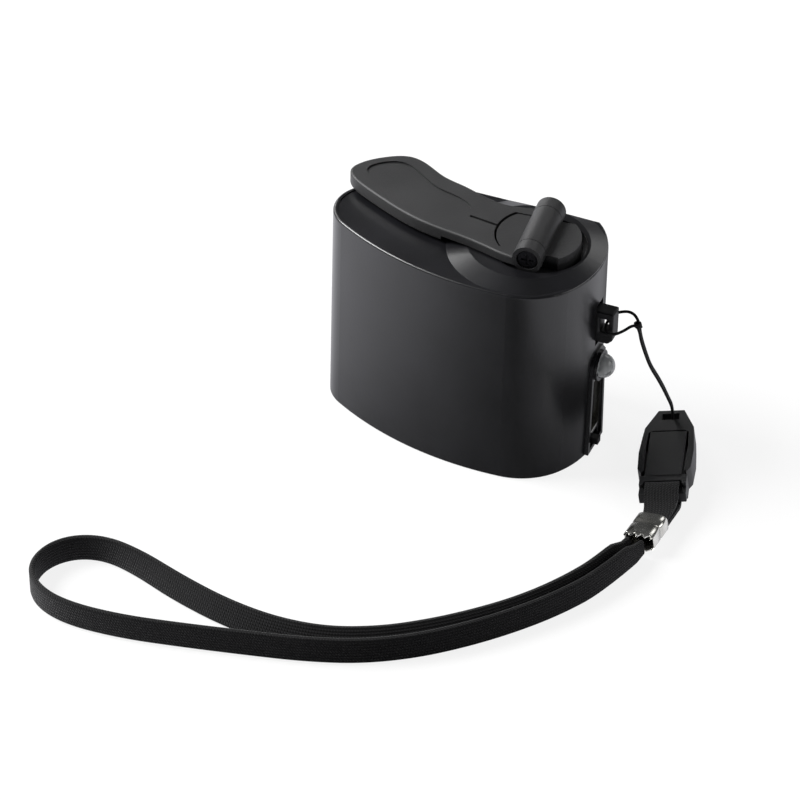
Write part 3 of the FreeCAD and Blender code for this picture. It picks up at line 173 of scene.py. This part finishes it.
def nickel_plate():
    """Bright nickel plate on pressed steel sheet, with broad faint ripples from the press."""
    new, tree, shader = material("nickel_plated_steel", {"Metallic": 1.0})
    spot = in_mm(tree)
    ripple = add(tree, "ShaderNodeTexNoise", {"Vector": spot, "Scale": 0.3, "Detail": 1.0})
    two_tones(tree, shader, ripple.outputs["Fac"], 0.3, 0.7, "#bdbcb6", "#dddcd6")
    rough_between(tree, shader, ripple.outputs["Fac"], 0.18, 0.28)
    raised(tree, shader, ripple.outputs["Fac"], 0.02)
    return new


def woven_polyester():
    """Woven polyester webbing: warp columns 0.6 mm wide with a 0.45 mm pick, a soft sheen along
    the yarns and a little lint. The threads are drawn coarser than real ones so that they show."""
    new, tree, shader = material("woven_polyester_webbing", {
        "IOR": 1.5, "Roughness": 0.78, "Specular IOR Level": 0.25, "Sheen Weight": 0.08,
        "Sheen Roughness": 0.45})
    spot = in_mm(tree, "UV")
    columns = add(tree, "ShaderNodeTexWave", {"Vector": spot, "Scale": ONE_BAND / 0.6,
                                              "Distortion": 0.25, "Detail": 1.0},
                  wave_type="BANDS", bands_direction="Y", wave_profile="SIN")
    slanted = add(tree, "ShaderNodeMapping", {"Vector": spot, "Rotation": (0, 0, math.radians(38))})
    picks = add(tree, "ShaderNodeTexWave", {"Vector": slanted.outputs["Vector"],
                                            "Scale": ONE_BAND / 0.45, "Distortion": 0.4,
                                            "Detail": 1.0},
                wave_type="BANDS", bands_direction="X", wave_profile="SIN")
    both = add(tree, "ShaderNodeMath", {0: columns.outputs["Fac"], 1: picks.outputs["Fac"]},
               operation="MULTIPLY")
    lint = add(tree, "ShaderNodeTexNoise", {"Vector": spot, "Scale": 0.5, "Detail": 4.0})
    tone = add(tree, "ShaderNodeMath", {0: both.outputs[0], 1: lint.outputs["Fac"]},
               operation="MULTIPLY")
    two_tones(tree, shader, tone.outputs[0], 0.05, 0.55, "#060607", "#131315")
    raised(tree, shader, both.outputs[0], 0.14)
    return new


def braided_cord():
    """Thin braided polyester cord: dull black, its strands drawn as bumps 0.35 mm apart."""
    new, tree, shader = material("braided_polyester_cord", {
        "IOR": 1.5, "Roughness": 0.7, "Specular IOR Level": 0.25, "Sheen Weight": 0.05})
    spot = in_mm(tree)
    strands = add(tree, "ShaderNodeTexVoronoi", {"Vector": spot, "Scale": 1 / 0.35})
    two_tones(tree, shader, strands.outputs["Distance"], 0.1, 0.8, "#060607", "#101012")
    raised(tree, shader, strands.outputs["Distance"], 0.05)
    return new


def clear_epoxy():
    """Clear cast epoxy of a lamp: smooth and slightly milky."""
    new, tree, shader = material("clear_cast_epoxy", {
        "IOR": 1.52, "Transmission Weight": 0.72})
    spot = in_mm(tree)
    haze = add(tree, "ShaderNodeTexNoise", {"Vector": spot, "Scale": 0.8, "Detail": 2.0})
    two_tones(tree, shader, haze.outputs["Fac"], 0.3, 0.7, "#e9ecee", "#f7f9fa")
    rough_between(tree, shader, haze.outputs["Fac"], 0.03, 0.10)
    return new


def circuit_laminate():
    """Green solder mask on glass epoxy: glossy, with the laminate's faint weave under it."""
    new, tree, shader = material("circuit_laminate", {"IOR": 1.5, "Coat Weight": 0.4})
    spot = in_mm(tree)
    weave = add(tree, "ShaderNodeTexWave", {"Vector": spot, "Scale": ONE_BAND / 0.5,
                                            "Distortion": 0.5}, bands_direction="Z")
    two_tones(tree, shader, weave.outputs["Fac"], 0.2, 0.8, "#123a22", "#1a5030")
    rough_between(tree, shader, weave.outputs["Fac"], 0.25, 0.4)
    return new


def natural_nylon():
    """Moulded natural nylon of the gears: ivory, waxy, slightly translucent."""
    new, tree, shader = material("natural_nylon", {
        "IOR": 1.53, "Subsurface Weight": 0.15, "Subsurface Scale": 0.001})
    spot = in_mm(tree)
    cloud = add(tree, "ShaderNodeTexNoise", {"Vector": spot, "Scale": 0.3, "Detail": 3.0})
    two_tones(tree, shader, cloud.outputs["Fac"], 0.3, 0.7, "#cfc9b8", "#e2ddcd")
    rough_between(tree, shader, cloud.outputs["Fac"], 0.35, 0.5)
    return new


FINISH = {}


def make_materials():
    """The finish of each slot, and one more for the hinge pin."""
    FINISH["shell_plastic"] = plastic("satin_moulded_abs", "#101012", "#161619", 0.26, 0.33,
                                      0.5, 0.010)
    FINISH["arm_plastic"] = plastic("eroded_moulded_abs", "#1b1b1c", "#222223", 0.50, 0.60,
                                    0.35, 0.030)
    FINISH["black_plastic"] = plastic("black_acetal", "#0b0b0d", "#0f0f11", 0.46, 0.56,
                                      0.4, 0.012, 0.35)
    FINISH["panel_plastic"] = plastic("glossy_moulded_abs", "#111113", "#19191b", 0.18, 0.28,
                                      0.6, 0.006)
    FINISH["steel"] = worked_metal("turned_steel", "#8d8d90", "#b4b4b7", 0.30)
    FINISH["plated_steel"] = nickel_plate()
    FINISH["blackened_steel"] = worked_metal("blackened_steel", "#2c2c2e", "#454548", 0.34)
    FINISH["brass"] = worked_metal("turned_brass", "#a98a48", "#c9ab66", 0.28)
    FINISH["copper"] = worked_metal("enamelled_copper_wire", "#8a4a26", "#b3683a", 0.35)
    FINISH["gear_nylon"] = natural_nylon()
    FINISH["clear_lens"] = clear_epoxy()
    FINISH["board_laminate"] = circuit_laminate()
    FINISH["ferrite"] = plastic("sintered_ferrite", "#1d1d1f", "#2b2b2e", 0.6, 0.8, 0.6, 0.02)
    FINISH["insulation"] = plastic("pvc_wire_insulation", "#6d1512", "#8a1f1a", 0.35, 0.45,
                                   0.8, 0.01)
    FINISH["sleeve"] = plastic("shrink_sleeve", "#10182e", "#18233f", 0.2, 0.3, 1.0, 0.01)
    FINISH["webbing"] = woven_polyester()
    FINISH["cord"] = braided_cord()


def dress_cad_nodes():
    """Every CAD node gets the finish of its slot, but the hinge pin's steel is blackened."""
    for entry in frame["record"]["subparts"]:
        obj = frame["nodes"][entry["node"]]
        obj.data.materials.clear()
        finish = "blackened_steel" if entry["node"] == "hinge_pin" else entry["material_slot"]
        obj.data.materials.append(FINISH[finish])


# Modelling helpers

def alone(obj):
    """Select one object only and make it the active one."""
    if bpy.context.object and bpy.context.object.mode != "OBJECT":
        bpy.ops.object.mode_set(mode="OBJECT")
    bpy.ops.object.select_all(action="DESELECT")
    obj.select_set(True)
    bpy.context.view_layer.objects.active = obj


def edit_all():
    """Edit the active object with all of it selected."""
    bpy.ops.object.mode_set(mode="EDIT")
    bpy.ops.mesh.select_all(action="SELECT")


def settled(obj, name, slot, body="housing", angle=35):
    """Finish a piece: transforms applied, edges smooth by angle, its material and its body."""
    alone(obj)
    bpy.ops.object.transform_apply(location=True, rotation=True, scale=True)
    if obj.type == "MESH":
        bpy.ops.object.shade_smooth_by_angle(angle=math.radians(angle))
    obj.name = name
    obj.data.name = name
    obj.data.materials.clear()
    obj.data.materials.append(FINISH[slot])
    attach(obj, body)


def even_shading(obj):
    """Let the large flat faces set the shading, so that only the rounded edges turn the light."""
    alone(obj)
    weigh = obj.modifiers.new("weighted", "WEIGHTED_NORMAL")
    weigh.keep_sharp = True
    bpy.ops.object.modifier_apply(modifier="weighted")


def new_mesh(name, verts, faces):
    mesh = bpy.data.meshes.new(name)
    mesh.from_pydata(verts, [], faces)
    mesh.update()
    obj = bpy.data.objects.new(name, mesh)
    bpy.context.collection.objects.link(obj)
    return obj


def eased_copy(node, name, slot, body, width_mm):
    """A CAD node's form with its moulded edges rounded over."""
    source = frame["nodes"][node]
    obj = bpy.data.objects.new(name, source.data.copy())
    bpy.context.collection.objects.link(obj)
    alone(obj)
    edit_all()
    bpy.ops.mesh.remove_doubles(threshold=1e-6)
    bpy.ops.mesh.dissolve_limited(angle_limit=math.radians(0.4))
    bpy.ops.object.mode_set(mode="OBJECT")
    bevel = obj.modifiers.new("eased", "BEVEL")
    bevel.width = width_mm * MM
    bevel.segments = 2
    bevel.limit_method = "ANGLE"
    bevel.angle_limit = math.radians(40)
    bpy.ops.object.modifier_apply(modifier="eased")
    settled(obj, name, slot, body)
    even_shading(obj)
    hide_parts(node)
    return obj


def route_curve(name, route):
    """A smooth line whose control points are a cord's route."""
    data = bpy.data.curves.new(name, "CURVE")
    data.dimensions = "3D"
    data.resolution_u = 12
    spline = data.splines.new("NURBS")
    spline.points.add(len(route) - 1)
    for point, spot in zip(spline.points, route):
        point.co = (spot[0], spot[1], spot[2], 1)
    spline.order_u = 3
    spline.use_endpoint_u = True
    obj = bpy.data.objects.new(name, data)
    bpy.context.collection.objects.link(obj)
    return obj


def line_points(curve):
    """Points along a curve's own line."""
    mesh = bpy.data.meshes.new_from_object(curve)
    return [v.co.copy() for v in mesh.vertices]


# Lanyard

STRAP_ROUTE = [(0.0463, -0.0296, 0.0029), (0.0443, -0.0380, 0.0029), (0.0398, -0.0476, 0.0029),
               (0.0342, -0.0560, 0.0029), (0.0276, -0.0632, 0.0029), (0.0204, -0.0698, 0.0029),
               (0.0124, -0.0756, 0.0029), (0.0030, -0.0798, 0.0029), (-0.0074, -0.0810, 0.0029),
               (-0.0182, -0.0796, 0.0029), (-0.0290, -0.0764, 0.0029), (-0.0390, -0.0726, 0.0029),
               (-0.0466, -0.0712, 0.0029), (-0.0526, -0.0734, 0.0029), (-0.0562, -0.0784, 0.0029),
               (-0.0564, -0.0848, 0.0029), (-0.0524, -0.0898, 0.0029), (-0.0452, -0.0922, 0.0029),
               (-0.0342, -0.0918, 0.0029), (-0.0226, -0.0896, 0.0029), (-0.0108, -0.0870, 0.0029),
               (0.0002, -0.0844, 0.0029), (0.0104, -0.0808, 0.0029), (0.0194, -0.0752, 0.0029),
               (0.0272, -0.0682, 0.0029), (0.0342, -0.0604, 0.0029), (0.0404, -0.0518, 0.0029),
               (0.0454, -0.0422, 0.0029), (0.0489, -0.0296, 0.0029)]
STRING_FRONT = [(0.0296, -0.0002, 0.0312), (0.0297, -0.0024, 0.0308), (0.0319, -0.0027, 0.0305),
                (0.0336, -0.0014, 0.0312), (0.0349, -0.0006, 0.0323), (0.0358, -0.0002, 0.0322),
                (0.0364, -0.00015, 0.0309), (0.0368, -0.00015, 0.0288), (0.03775, 0.00065, 0.0248),
                (0.0386, 0.00165, 0.0214), (0.0397, 0.00305, 0.0181), (0.0404, 0.00445, 0.0151),
                (0.0411, 0.00605, 0.0116), (0.0415, 0.0076, 0.0086), (0.0417, 0.00815, 0.0058),
                (0.04165, 0.0081, 0.0036)]
STRING_REAR = [(0.0296, -0.0002, 0.0312), (0.0297, 0.0022, 0.0317), (0.0317, 0.0023, 0.0328),
               (0.0335, 0.0015, 0.0339), (0.0350, 0.0009, 0.0339), (0.0360, 0.00065, 0.0323),
               (0.0365, 0.00055, 0.0294), (0.0374, 0.0013, 0.0254), (0.0382, 0.00225, 0.0218),
               (0.0394, 0.00365, 0.0184), (0.0402, 0.00515, 0.0151), (0.0408, 0.00675, 0.0116),
               (0.04125, 0.0083, 0.0086), (0.0414, 0.0088, 0.0058), (0.04135, 0.0088, 0.0036)]
STRING_THICK = 0.6 * MM
STRAP_WIDE = 5.4 * MM
STRAP_THICK = 1.2 * MM


def strings(knot, stub):
    """The two strands from the lug to the buckle, each one tube along its route."""
    for label, route in (("string_front", STRING_FRONT), ("string_rear", STRING_REAR)):
        cord = route_curve(label + "_cord", route)
        cord.data.bevel_depth = STRING_THICK / 2
        cord.data.bevel_resolution = 4
        cord.data.use_fill_caps = True
        cord.data.materials.append(FINISH["cord"])
        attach(cord, "housing")
        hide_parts(label)


KNOT_CENTRE = Vector((35.9, 0.2, 32.2)) * MM
KNOT_AXIS = Vector((0.35, -0.1, -1)).normalized()
KNOT_TURNS = 2.6
KNOT_RADII = (0.52, 0.60)
KNOT_LENGTH = 1.0 * MM
KNOT_POINTS = 34


def string_knot():
    """Two and a half turns of string drawn tight round both strands where they meet."""
    side = KNOT_AXIS.orthogonal().normalized()
    other = KNOT_AXIS.cross(side)
    route = []
    for k in range(KNOT_POINTS + 1):
        angle = 2 * math.pi * KNOT_TURNS * k / KNOT_POINTS
        along = (k / KNOT_POINTS - 0.5) * KNOT_LENGTH
        round_it = side * math.cos(angle) * KNOT_RADII[0] + other * math.sin(angle) * KNOT_RADII[1]
        route.append(KNOT_CENTRE + KNOT_AXIS * along + round_it * MM)
    curve = route_curve("knot_line", route)
    curve.data.bevel_depth = 0.26 * MM
    curve.data.bevel_resolution = 3
    curve.data.use_fill_caps = True
    alone(curve)
    bpy.ops.object.convert(target="MESH")
    knot = bpy.context.object
    settled(knot, "string_knot", "cord")
    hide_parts("string_tie")
    return knot


# Share of the band's length from the crimp, and its lean off upright there in degrees
STRAP_LEAN = [(0.0, -20), (0.05, -34), (0.15, -40), (0.36, -30), (0.46, -8), (0.56, 4), (0.75, 8),
              (0.93, 10), (1.0, 6)]
NIP_LENGTH = 5 * MM
NIP_NARROWING = 0.38
LIFT_LENGTH = 6 * MM
CRIMP_HEIGHT = 2.6 * MM
STRAP_CLEAR = 0.25 * MM


def strap_lean(share):
    """The band's lean in radians, eased from one stop to the next."""
    for (a, low), (b, high) in zip(STRAP_LEAN, STRAP_LEAN[1:]):
        if share <= b:
            t = (share - a) / (b - a)
            return math.radians(low + (high - low) * t * t * (3 - 2 * t))
    return math.radians(STRAP_LEAN[-1][1])


def band_section(width, thick):
    """Half round edges on a flat band, as pairs of (across the thickness, along the width)."""
    points = []
    for end in (1, -1):
        for k in range(7):
            angle = math.pi * k / 6
            points.append((end * math.cos(angle) * thick / 2,
                           end * (width / 2 - thick / 2) + end * math.sin(angle) * thick / 2))
    return points


def band_rings(line, lengths):
    """The band's middle and its corners along its line. It leans, clears the floor, and narrows
    and rises into the crimp at both ends."""
    upright = Vector((0, 0, 1))
    total = lengths[-1]
    middle, verts = [], []
    for k, spot in enumerate(line):
        along = (line[min(k + 1, len(line) - 1)] - line[max(k - 1, 0)]).normalized()
        inner = upright.cross(along)
        lean = strap_lean(lengths[k] / total)
        rise = upright * math.cos(lean) + inner * math.sin(lean)
        flat = rise.cross(along)
        nip = min(lengths[k], total - lengths[k])
        width = STRAP_WIDE * (1 - NIP_NARROWING * max(0.0, 1 - nip / NIP_LENGTH))
        lying = width / 2 * math.cos(lean) + STRAP_CLEAR
        lifted = CRIMP_HEIGHT * (1 - min(nip / LIFT_LENGTH, 1))
        centre = Vector((spot.x, spot.y, max(lying, lifted)))
        middle.append(tuple(centre))
        verts += [centre + flat * a + rise * b for a, b in band_section(width, STRAP_THICK)]
    return middle, verts


def lay_weave(strap, lengths):
    """A UV map in metres, along the band and round its section, that the weave follows."""
    section = band_section(STRAP_WIDE, STRAP_THICK)
    count = len(section)
    around = [0.0]
    for a, b in zip(section, section[1:] + section[:1]):
        around.append(around[-1] + math.dist(a, b))
    layer = strap.data.uv_layers.new(name="weave")
    for polygon in strap.data.polygons:
        corners = [strap.data.loops[q].vertex_index for q in polygon.loop_indices]
        closing = len(corners) == 4 and any(corner % count == count - 1 for corner in corners)
        for loop, corner in zip(polygon.loop_indices, corners):
            ring, j = divmod(corner, count)
            if closing and j == 0:
                j = count
            layer.data[loop].uv = (lengths[ring], around[j])


def wrist_strap(crimp):
    """The woven band, in one loop from the crimp and back to it."""
    curve = route_curve("strap_line", STRAP_ROUTE)
    curve.data.resolution_u = 10
    line = line_points(curve)
    bpy.data.objects.remove(curve)
    lengths = [0.0]
    for a, b in zip(line, line[1:]):
        lengths.append(lengths[-1] + (b - a).length)
    path, verts = band_rings(line, lengths)
    count = len(verts) // len(line)
    faces = []
    for k in range(len(line) - 1):
        for j in range(count):
            a, b = k * count + j, k * count + (j + 1) % count
            faces.append((a, a + count, b + count, b))
    faces.append(tuple(reversed(range(count))))
    faces.append(tuple(range(len(verts) - count, len(verts))))
    strap = new_mesh("strap", verts, faces)
    lay_weave(strap, lengths)
    alone(strap)
    edit_all()
    bpy.ops.mesh.normals_make_consistent(inside=False)
    bpy.ops.object.mode_set(mode="OBJECT")
    settled(strap, "strap_band", "webbing", angle=60)
    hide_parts("wrist_strap")


# Buckle end

# Where it lies in the frame, and how high it has to lie for its rolled edge to clear the floor
BUCKLE_START = Vector((41.0, 10.4)) * MM
BUCKLE_TURN = math.radians(-75)
BUCKLE_ROLL = math.radians(9)
BUCKLE_HALF_WIDE = 5.0
BUCKLE_HALF_THICK = 2.3
BUCKLE_CLEAR = 0.1
BUCKLE_LIFT = (BUCKLE_HALF_THICK + BUCKLE_HALF_WIDE * math.sin(BUCKLE_ROLL) + BUCKLE_CLEAR) * MM

# The webbing seen from the side, halfway through its thickness, in millimetres along the buckle
# and above its middle line
STUB_SIDE = [(35.4, 0.45), (31.6, 0.5), (28.6, 0.75), (27.0, 1.35), (25.8, 1.95), (24.6, 2.2),
             (23.4, 2.0), (22.75, 1.2), (22.6, 0.0), (22.75, -1.2), (23.4, -2.0), (24.6, -2.2),
             (25.8, -1.95), (27.0, -1.35), (28.6, -0.75), (31.6, -0.5), (35.4, -0.45)]
STUB_THICK = 0.8
STUB_ACROSS = 9
TAPER_START, MOUTH, STUB_END = 27.5, 31.6, 35.4
FULL_HALF, MOUTH_HALF, END_HALF = 3.4, 2.8, 2.7
MOUTH_SHIFT, END_SHIFT = -0.5, -1.6


def on_buckle(x, y, z):
    """A point given in millimetres along, across and above the buckle's middle line."""
    turn = Matrix.Rotation(BUCKLE_TURN, 3, "Z") @ Matrix.Rotation(BUCKLE_ROLL, 3, "X")
    return Vector((BUCKLE_START.x, BUCKLE_START.y, BUCKLE_LIFT)) + turn @ (Vector((x, y, z)) * MM)


def stub_across(x):
    """The webbing's sideways shift and half width: it tapers and swings into the crimp's mouth."""
    if x >= MOUTH:
        t = (x - MOUTH) / (STUB_END - MOUTH)
        return MOUTH_SHIFT + (END_SHIFT - MOUTH_SHIFT) * t, MOUTH_HALF + (END_HALF - MOUTH_HALF) * t
    if x >= TAPER_START:
        t = (x - TAPER_START) / (MOUTH - TAPER_START)
        return MOUTH_SHIFT * t * t, FULL_HALF + (MOUTH_HALF - FULL_HALF) * t
    return 0.0, FULL_HALF


def webbing_stub():
    """Doubled webbing: one length wraps the buckle's bar, and both layers run into the crimp."""
    line = route_curve("stub_line", [Vector((x, 0, z)) * MM for x, z in STUB_SIDE])
    points = [p / MM for p in line_points(line)]
    bpy.data.objects.remove(line)
    verts, faces, uvs = [], [], []
    run = 0.0
    for k, p in enumerate(points):
        if k:
            run += (p - points[k - 1]).length
        shift, half = stub_across(p.x)
        for j in range(STUB_ACROSS):
            s = 2 * j / (STUB_ACROSS - 1) - 1
            verts.append(on_buckle(p.x, shift + half * s, p.z))
            uvs.append((run * MM, (s + 1) * half * MM))
    for k in range(len(points) - 1):
        for j in range(STUB_ACROSS - 1):
            a = k * STUB_ACROSS + j
            faces.append((a, a + 1, a + STUB_ACROSS + 1, a + STUB_ACROSS))
    stub = new_mesh("stub", verts, faces)
    layer = stub.data.uv_layers.new(name="weave")
    for loop in stub.data.loops:
        layer.data[loop.index].uv = uvs[loop.vertex_index]
    alone(stub)
    thick = stub.modifiers.new("thick", "SOLIDIFY")
    thick.thickness = STUB_THICK * MM
    thick.offset = 0
    bpy.ops.object.modifier_apply(modifier="thick")
    settled(stub, "webbing_stub", "webbing", angle=50)
    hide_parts("short_webbing")
    return stub


# Lug and crimp, drawn in millimetres round their own middles and then laid in their places

LUG_SIZE = (5.3, 3.4, 7.4)
LUG_PLACE = (28.75, 0, 30.7)
LUG_EASE = 0.42
LUG_WALL = 1.6
LUG_HOLE_SHRINK = (0.85, 1, 0.75)
LUG_HOLE_SHIFT = (0.75, 0, 0.55)
LUG_FOOT = (2.65, 0, -2.6)
LUG_FOOT_SLANT = (0.72, 0, -0.69)


def laid(obj, place, turn, roll=0.0):
    """Bring a piece drawn in millimetres along its own X to its place. Turn and roll are in degrees."""
    alone(obj)
    spin = Matrix.Rotation(math.radians(turn), 4, "Z") @ Matrix.Rotation(math.radians(roll), 4, "X")
    obj.matrix_world = Matrix.Translation(Vector(place) * MM) @ spin @ Matrix.Scale(MM, 4)


def lanyard_lug():
    """The moulded lug: a rounded block with a slanted foot and a through hole."""
    bpy.ops.object.select_all(action="DESELECT")
    bpy.ops.mesh.primitive_cube_add(size=1)
    lug = bpy.context.object
    edit_all()
    bpy.ops.transform.resize(value=LUG_SIZE)
    bpy.ops.mesh.select_mode(type="FACE")
    bpy.ops.mesh.select_all(action="DESELECT")
    grid = bmesh.from_edit_mesh(lug.data)
    for face in grid.faces:
        face.select = abs(face.normal.y) > 0.9
    bmesh.update_edit_mesh(lug.data)
    bpy.ops.mesh.inset(thickness=LUG_WALL, use_even_offset=True)
    bpy.ops.transform.resize(value=LUG_HOLE_SHRINK, center_override=(0, 0, 0))
    bpy.ops.transform.translate(value=LUG_HOLE_SHIFT)
    bpy.ops.mesh.bridge_edge_loops()
    bpy.ops.mesh.select_all(action="SELECT")
    bpy.ops.mesh.bisect(plane_co=LUG_FOOT, plane_no=LUG_FOOT_SLANT, clear_outer=True,
                        use_fill=True)
    bpy.ops.object.mode_set(mode="OBJECT")
    eased = lug.modifiers.new("eased", "BEVEL")
    eased.width = LUG_EASE
    eased.segments = 4
    eased.limit_method = "ANGLE"
    bpy.ops.object.modifier_apply(modifier="eased")
    laid(lug, LUG_PLACE, 0)
    settled(lug, "lug_moulding", "black_plastic", angle=40)
    even_shading(lug)
    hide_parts("lanyard_lug")


# Places along the sleeve, and its size there against the full one
CRIMP_STATIONS = [(-3.2, 0.93), (-2.9, 1.0), (-0.3, 1.0), (0.0, 0.93), (0.5, 0.93), (0.8, 1.0),
                  (3.2, 1.0), (3.4, 1.0), (3.5, 1.0), (3.6, 1.02)]
CRIMP_PLACE = (48.1, -24.4, 2.85)
CRIMP_TURN = -94
CRIMP_ROLL = 9
CRIMP_HALF_WIDE = 3.2
CRIMP_HALF_THICK = 1.95
CRIMP_SHEET = 0.35
TOOTH_PITCH = 1.6
TOOTH_LENGTH = 1.1


def strap_crimp():
    """A sheet metal crimp: a flattened sleeve with a pressed groove and teeth at the strap."""
    bpy.ops.object.select_all(action="DESELECT")
    bpy.ops.mesh.primitive_circle_add(vertices=64, radius=1, fill_type="NOTHING",
                                      rotation=(0, math.pi / 2, 0))
    crimp = bpy.context.object
    bpy.ops.object.transform_apply(location=False, rotation=True, scale=False)
    for vert in crimp.data.vertices:
        angle = math.atan2(vert.co.z, vert.co.y)
        flat = (abs(math.cos(angle)) ** 4 + abs(math.sin(angle)) ** 4) ** -0.25
        vert.co.y = math.cos(angle) * flat * CRIMP_HALF_WIDE
        vert.co.z = math.sin(angle) * flat * CRIMP_HALF_THICK
    edit_all()
    place, grown = CRIMP_STATIONS[0]
    bpy.ops.transform.translate(value=(place, 0, 0))
    bpy.ops.transform.resize(value=(1, grown, grown), center_override=(place, 0, 0))
    for following, size in CRIMP_STATIONS[1:]:
        bpy.ops.mesh.extrude_edges_move(TRANSFORM_OT_translate={"value": (following - place, 0, 0)})
        bpy.ops.transform.resize(value=(1, size / grown, size / grown),
                                 center_override=(following, 0, 0))
        place, grown = following, size
    bpy.ops.object.mode_set(mode="OBJECT")
    last_ring = CRIMP_STATIONS[-1][0] - 0.05
    for vert in crimp.data.vertices:
        if vert.co.x > last_ring and abs(vert.co.z) > 1.3:
            tooth = abs((vert.co.y / TOOTH_PITCH + 0.5) % 1 - 0.5) * 2
            vert.co.x += 0.2 + TOOTH_LENGTH * (1 - tooth)
            vert.co.z *= 1 - 0.12 * (1 - tooth)
    sheet = crimp.modifiers.new("sheet", "SOLIDIFY")
    sheet.thickness = CRIMP_SHEET
    sheet.offset = -1
    bpy.ops.object.modifier_apply(modifier="sheet")
    edges = crimp.modifiers.new("edges", "BEVEL")
    edges.width = 0.08
    edges.segments = 2
    edges.limit_method = "ANGLE"
    edges.angle_limit = math.radians(50)
    bpy.ops.object.modifier_apply(modifier="edges")
    laid(crimp, CRIMP_PLACE, CRIMP_TURN, CRIMP_ROLL)
    settled(crimp, "crimp_sleeve", "plated_steel", angle=40)
    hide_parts("strap_crimp")
    return crimp


# Light, floor and background

# Share of the way from FLOOR_REACH left of the middle to as far right of it, and how bright the painted
# glow is there, which a mirroring surface sees in place of the paper
FLOOR_PAINTED_GLOW = [(0.0, 1.35), (0.22, 1.05), (0.40, 0.52), (0.56, 0.22), (0.66, 0.16), (0.76, 0.36),
              (0.88, 0.95), (1.0, 1.1)]
FLOOR_REACH = 70 * MM
FLOOR_WHITE = 0.85
ROOM_GLOW = 0.08

# Name, place, side of the square and power of each soft light
LAMPS = [("left_softbox", (-0.84, -0.18, 0.76), 0.55, 25.0),
         ("rear_left_softbox", (-0.65, 0.49, 0.49), 0.45, 3.2),
         ("rear_softbox", (0.20, 0.95, 0.62), 0.45, 1.2),
         ("right_softbox", (0.85, 0.16, 0.50), 0.5, 2.2)]
LAMP_AIM = Vector((0, 0, 0.02))


def white_for_camera(tree, lit, share):
    """Mix a surface with plain white where the camera looks straight at it, or through glass."""
    path = add(tree, "ShaderNodeLightPath")
    sees = add(tree, "ShaderNodeMath", {0: path.outputs["Is Camera Ray"],
                                        1: path.outputs["Is Transmission Ray"]}, operation="MAXIMUM")
    part = add(tree, "ShaderNodeMath", {0: sees.outputs[0], 1: share}, operation="MULTIPLY")
    white = add(tree, "ShaderNodeEmission", {"Color": (1, 1, 1, 1), "Strength": 1.0})
    return add(tree, "ShaderNodeMixShader", {0: part.outputs[0], 1: lit, 2: white.outputs[0]})


def paper_sweep():
    """White paper. In reflections only it is swapped for a painted glow that falls off from the left to
    the middle and comes back at the right, as if under two side lights; the satin plastic mirrors it as
    a painted gradient along the body."""
    paper, tree, shader = material("white_paper_and_painted_glow", {"Base Color": colour("#f4f4f4"),
                                                         "Roughness": 0.9})
    spot = add(tree, "ShaderNodeTexCoord")
    apart = add(tree, "ShaderNodeSeparateXYZ", {0: spot.outputs["Object"]})
    along = add(tree, "ShaderNodeMapRange", {"Value": apart.outputs["X"], "From Min": -FLOOR_REACH,
                                             "From Max": FLOOR_REACH})
    ramp = add(tree, "ShaderNodeValToRGB", {"Fac": along.outputs["Result"]})
    while len(ramp.color_ramp.elements) < len(FLOOR_PAINTED_GLOW):
        ramp.color_ramp.elements.new(0.5)
    for stop, (place, painted_level) in zip(ramp.color_ramp.elements, FLOOR_PAINTED_GLOW):
        stop.position = place
        stop.color = (painted_level / 2, painted_level / 2, painted_level / 2 * 1.05, 1)
    # Painted glow: an emission that only reflections see, standing in for light falling on the paper
    painted_glow = add(tree, "ShaderNodeEmission", {"Color": ramp.outputs["Color"], "Strength": 2.0})
    path = add(tree, "ShaderNodeLightPath")
    paper_with_painted_glow = add(tree, "ShaderNodeMixShader", {0: path.outputs["Is Glossy Ray"],
                                             1: shader.outputs[0], 2: painted_glow.outputs[0]})
    mixed = white_for_camera(tree, paper_with_painted_glow.outputs[0], FLOOR_WHITE)
    tree.links.new(mixed.outputs[0], tree.nodes["Material Output"].inputs["Surface"])
    return paper


def studio():
    """The paper floor, the white background and the soft lights."""
    bpy.ops.object.select_all(action="DESELECT")
    bpy.ops.mesh.primitive_plane_add(size=6, location=(0, 0, 0))
    floor = bpy.context.object
    floor.name = "floor"
    floor.data.materials.append(paper_sweep())

    world = bpy.data.worlds.new("white_studio")
    bpy.context.scene.world = world
    world.use_nodes = True
    tree = world.node_tree
    tree.nodes.clear()
    room = add(tree, "ShaderNodeBackground", {"Color": colour("#f2f4f8"), "Strength": ROOM_GLOW})
    white = add(tree, "ShaderNodeBackground", {"Color": (1, 1, 1, 1), "Strength": 1.0})
    path = add(tree, "ShaderNodeLightPath")
    mixed = add(tree, "ShaderNodeMixShader", {0: path.outputs["Is Camera Ray"],
                                              1: room.outputs[0], 2: white.outputs[0]})
    end = add(tree, "ShaderNodeOutputWorld")
    tree.links.new(mixed.outputs[0], end.inputs["Surface"])

    for name, place, size, power in LAMPS:
        data = bpy.data.lights.new(name, "AREA")
        data.size = size
        data.energy = power
        lamp = bpy.data.objects.new(name, data)
        lamp.location = place
        aim = LAMP_AIM - Vector(place)
        lamp.rotation_euler = aim.to_track_quat("-Z", "Y").to_euler()
        bpy.context.collection.objects.link(lamp)
    bpy.context.scene.view_settings.view_transform = "Standard"


photograph_camera()
make_materials()
dress_cad_nodes()
studio()

plug = eased_copy("buckle_plug", "plug_half", "black_plastic", "housing", 0.22)
socket = eased_copy("buckle_socket", "socket_half", "black_plastic", "housing", 0.22)
lanyard_lug()
strings(string_knot(), webbing_stub())
wrist_strap(strap_crimp())
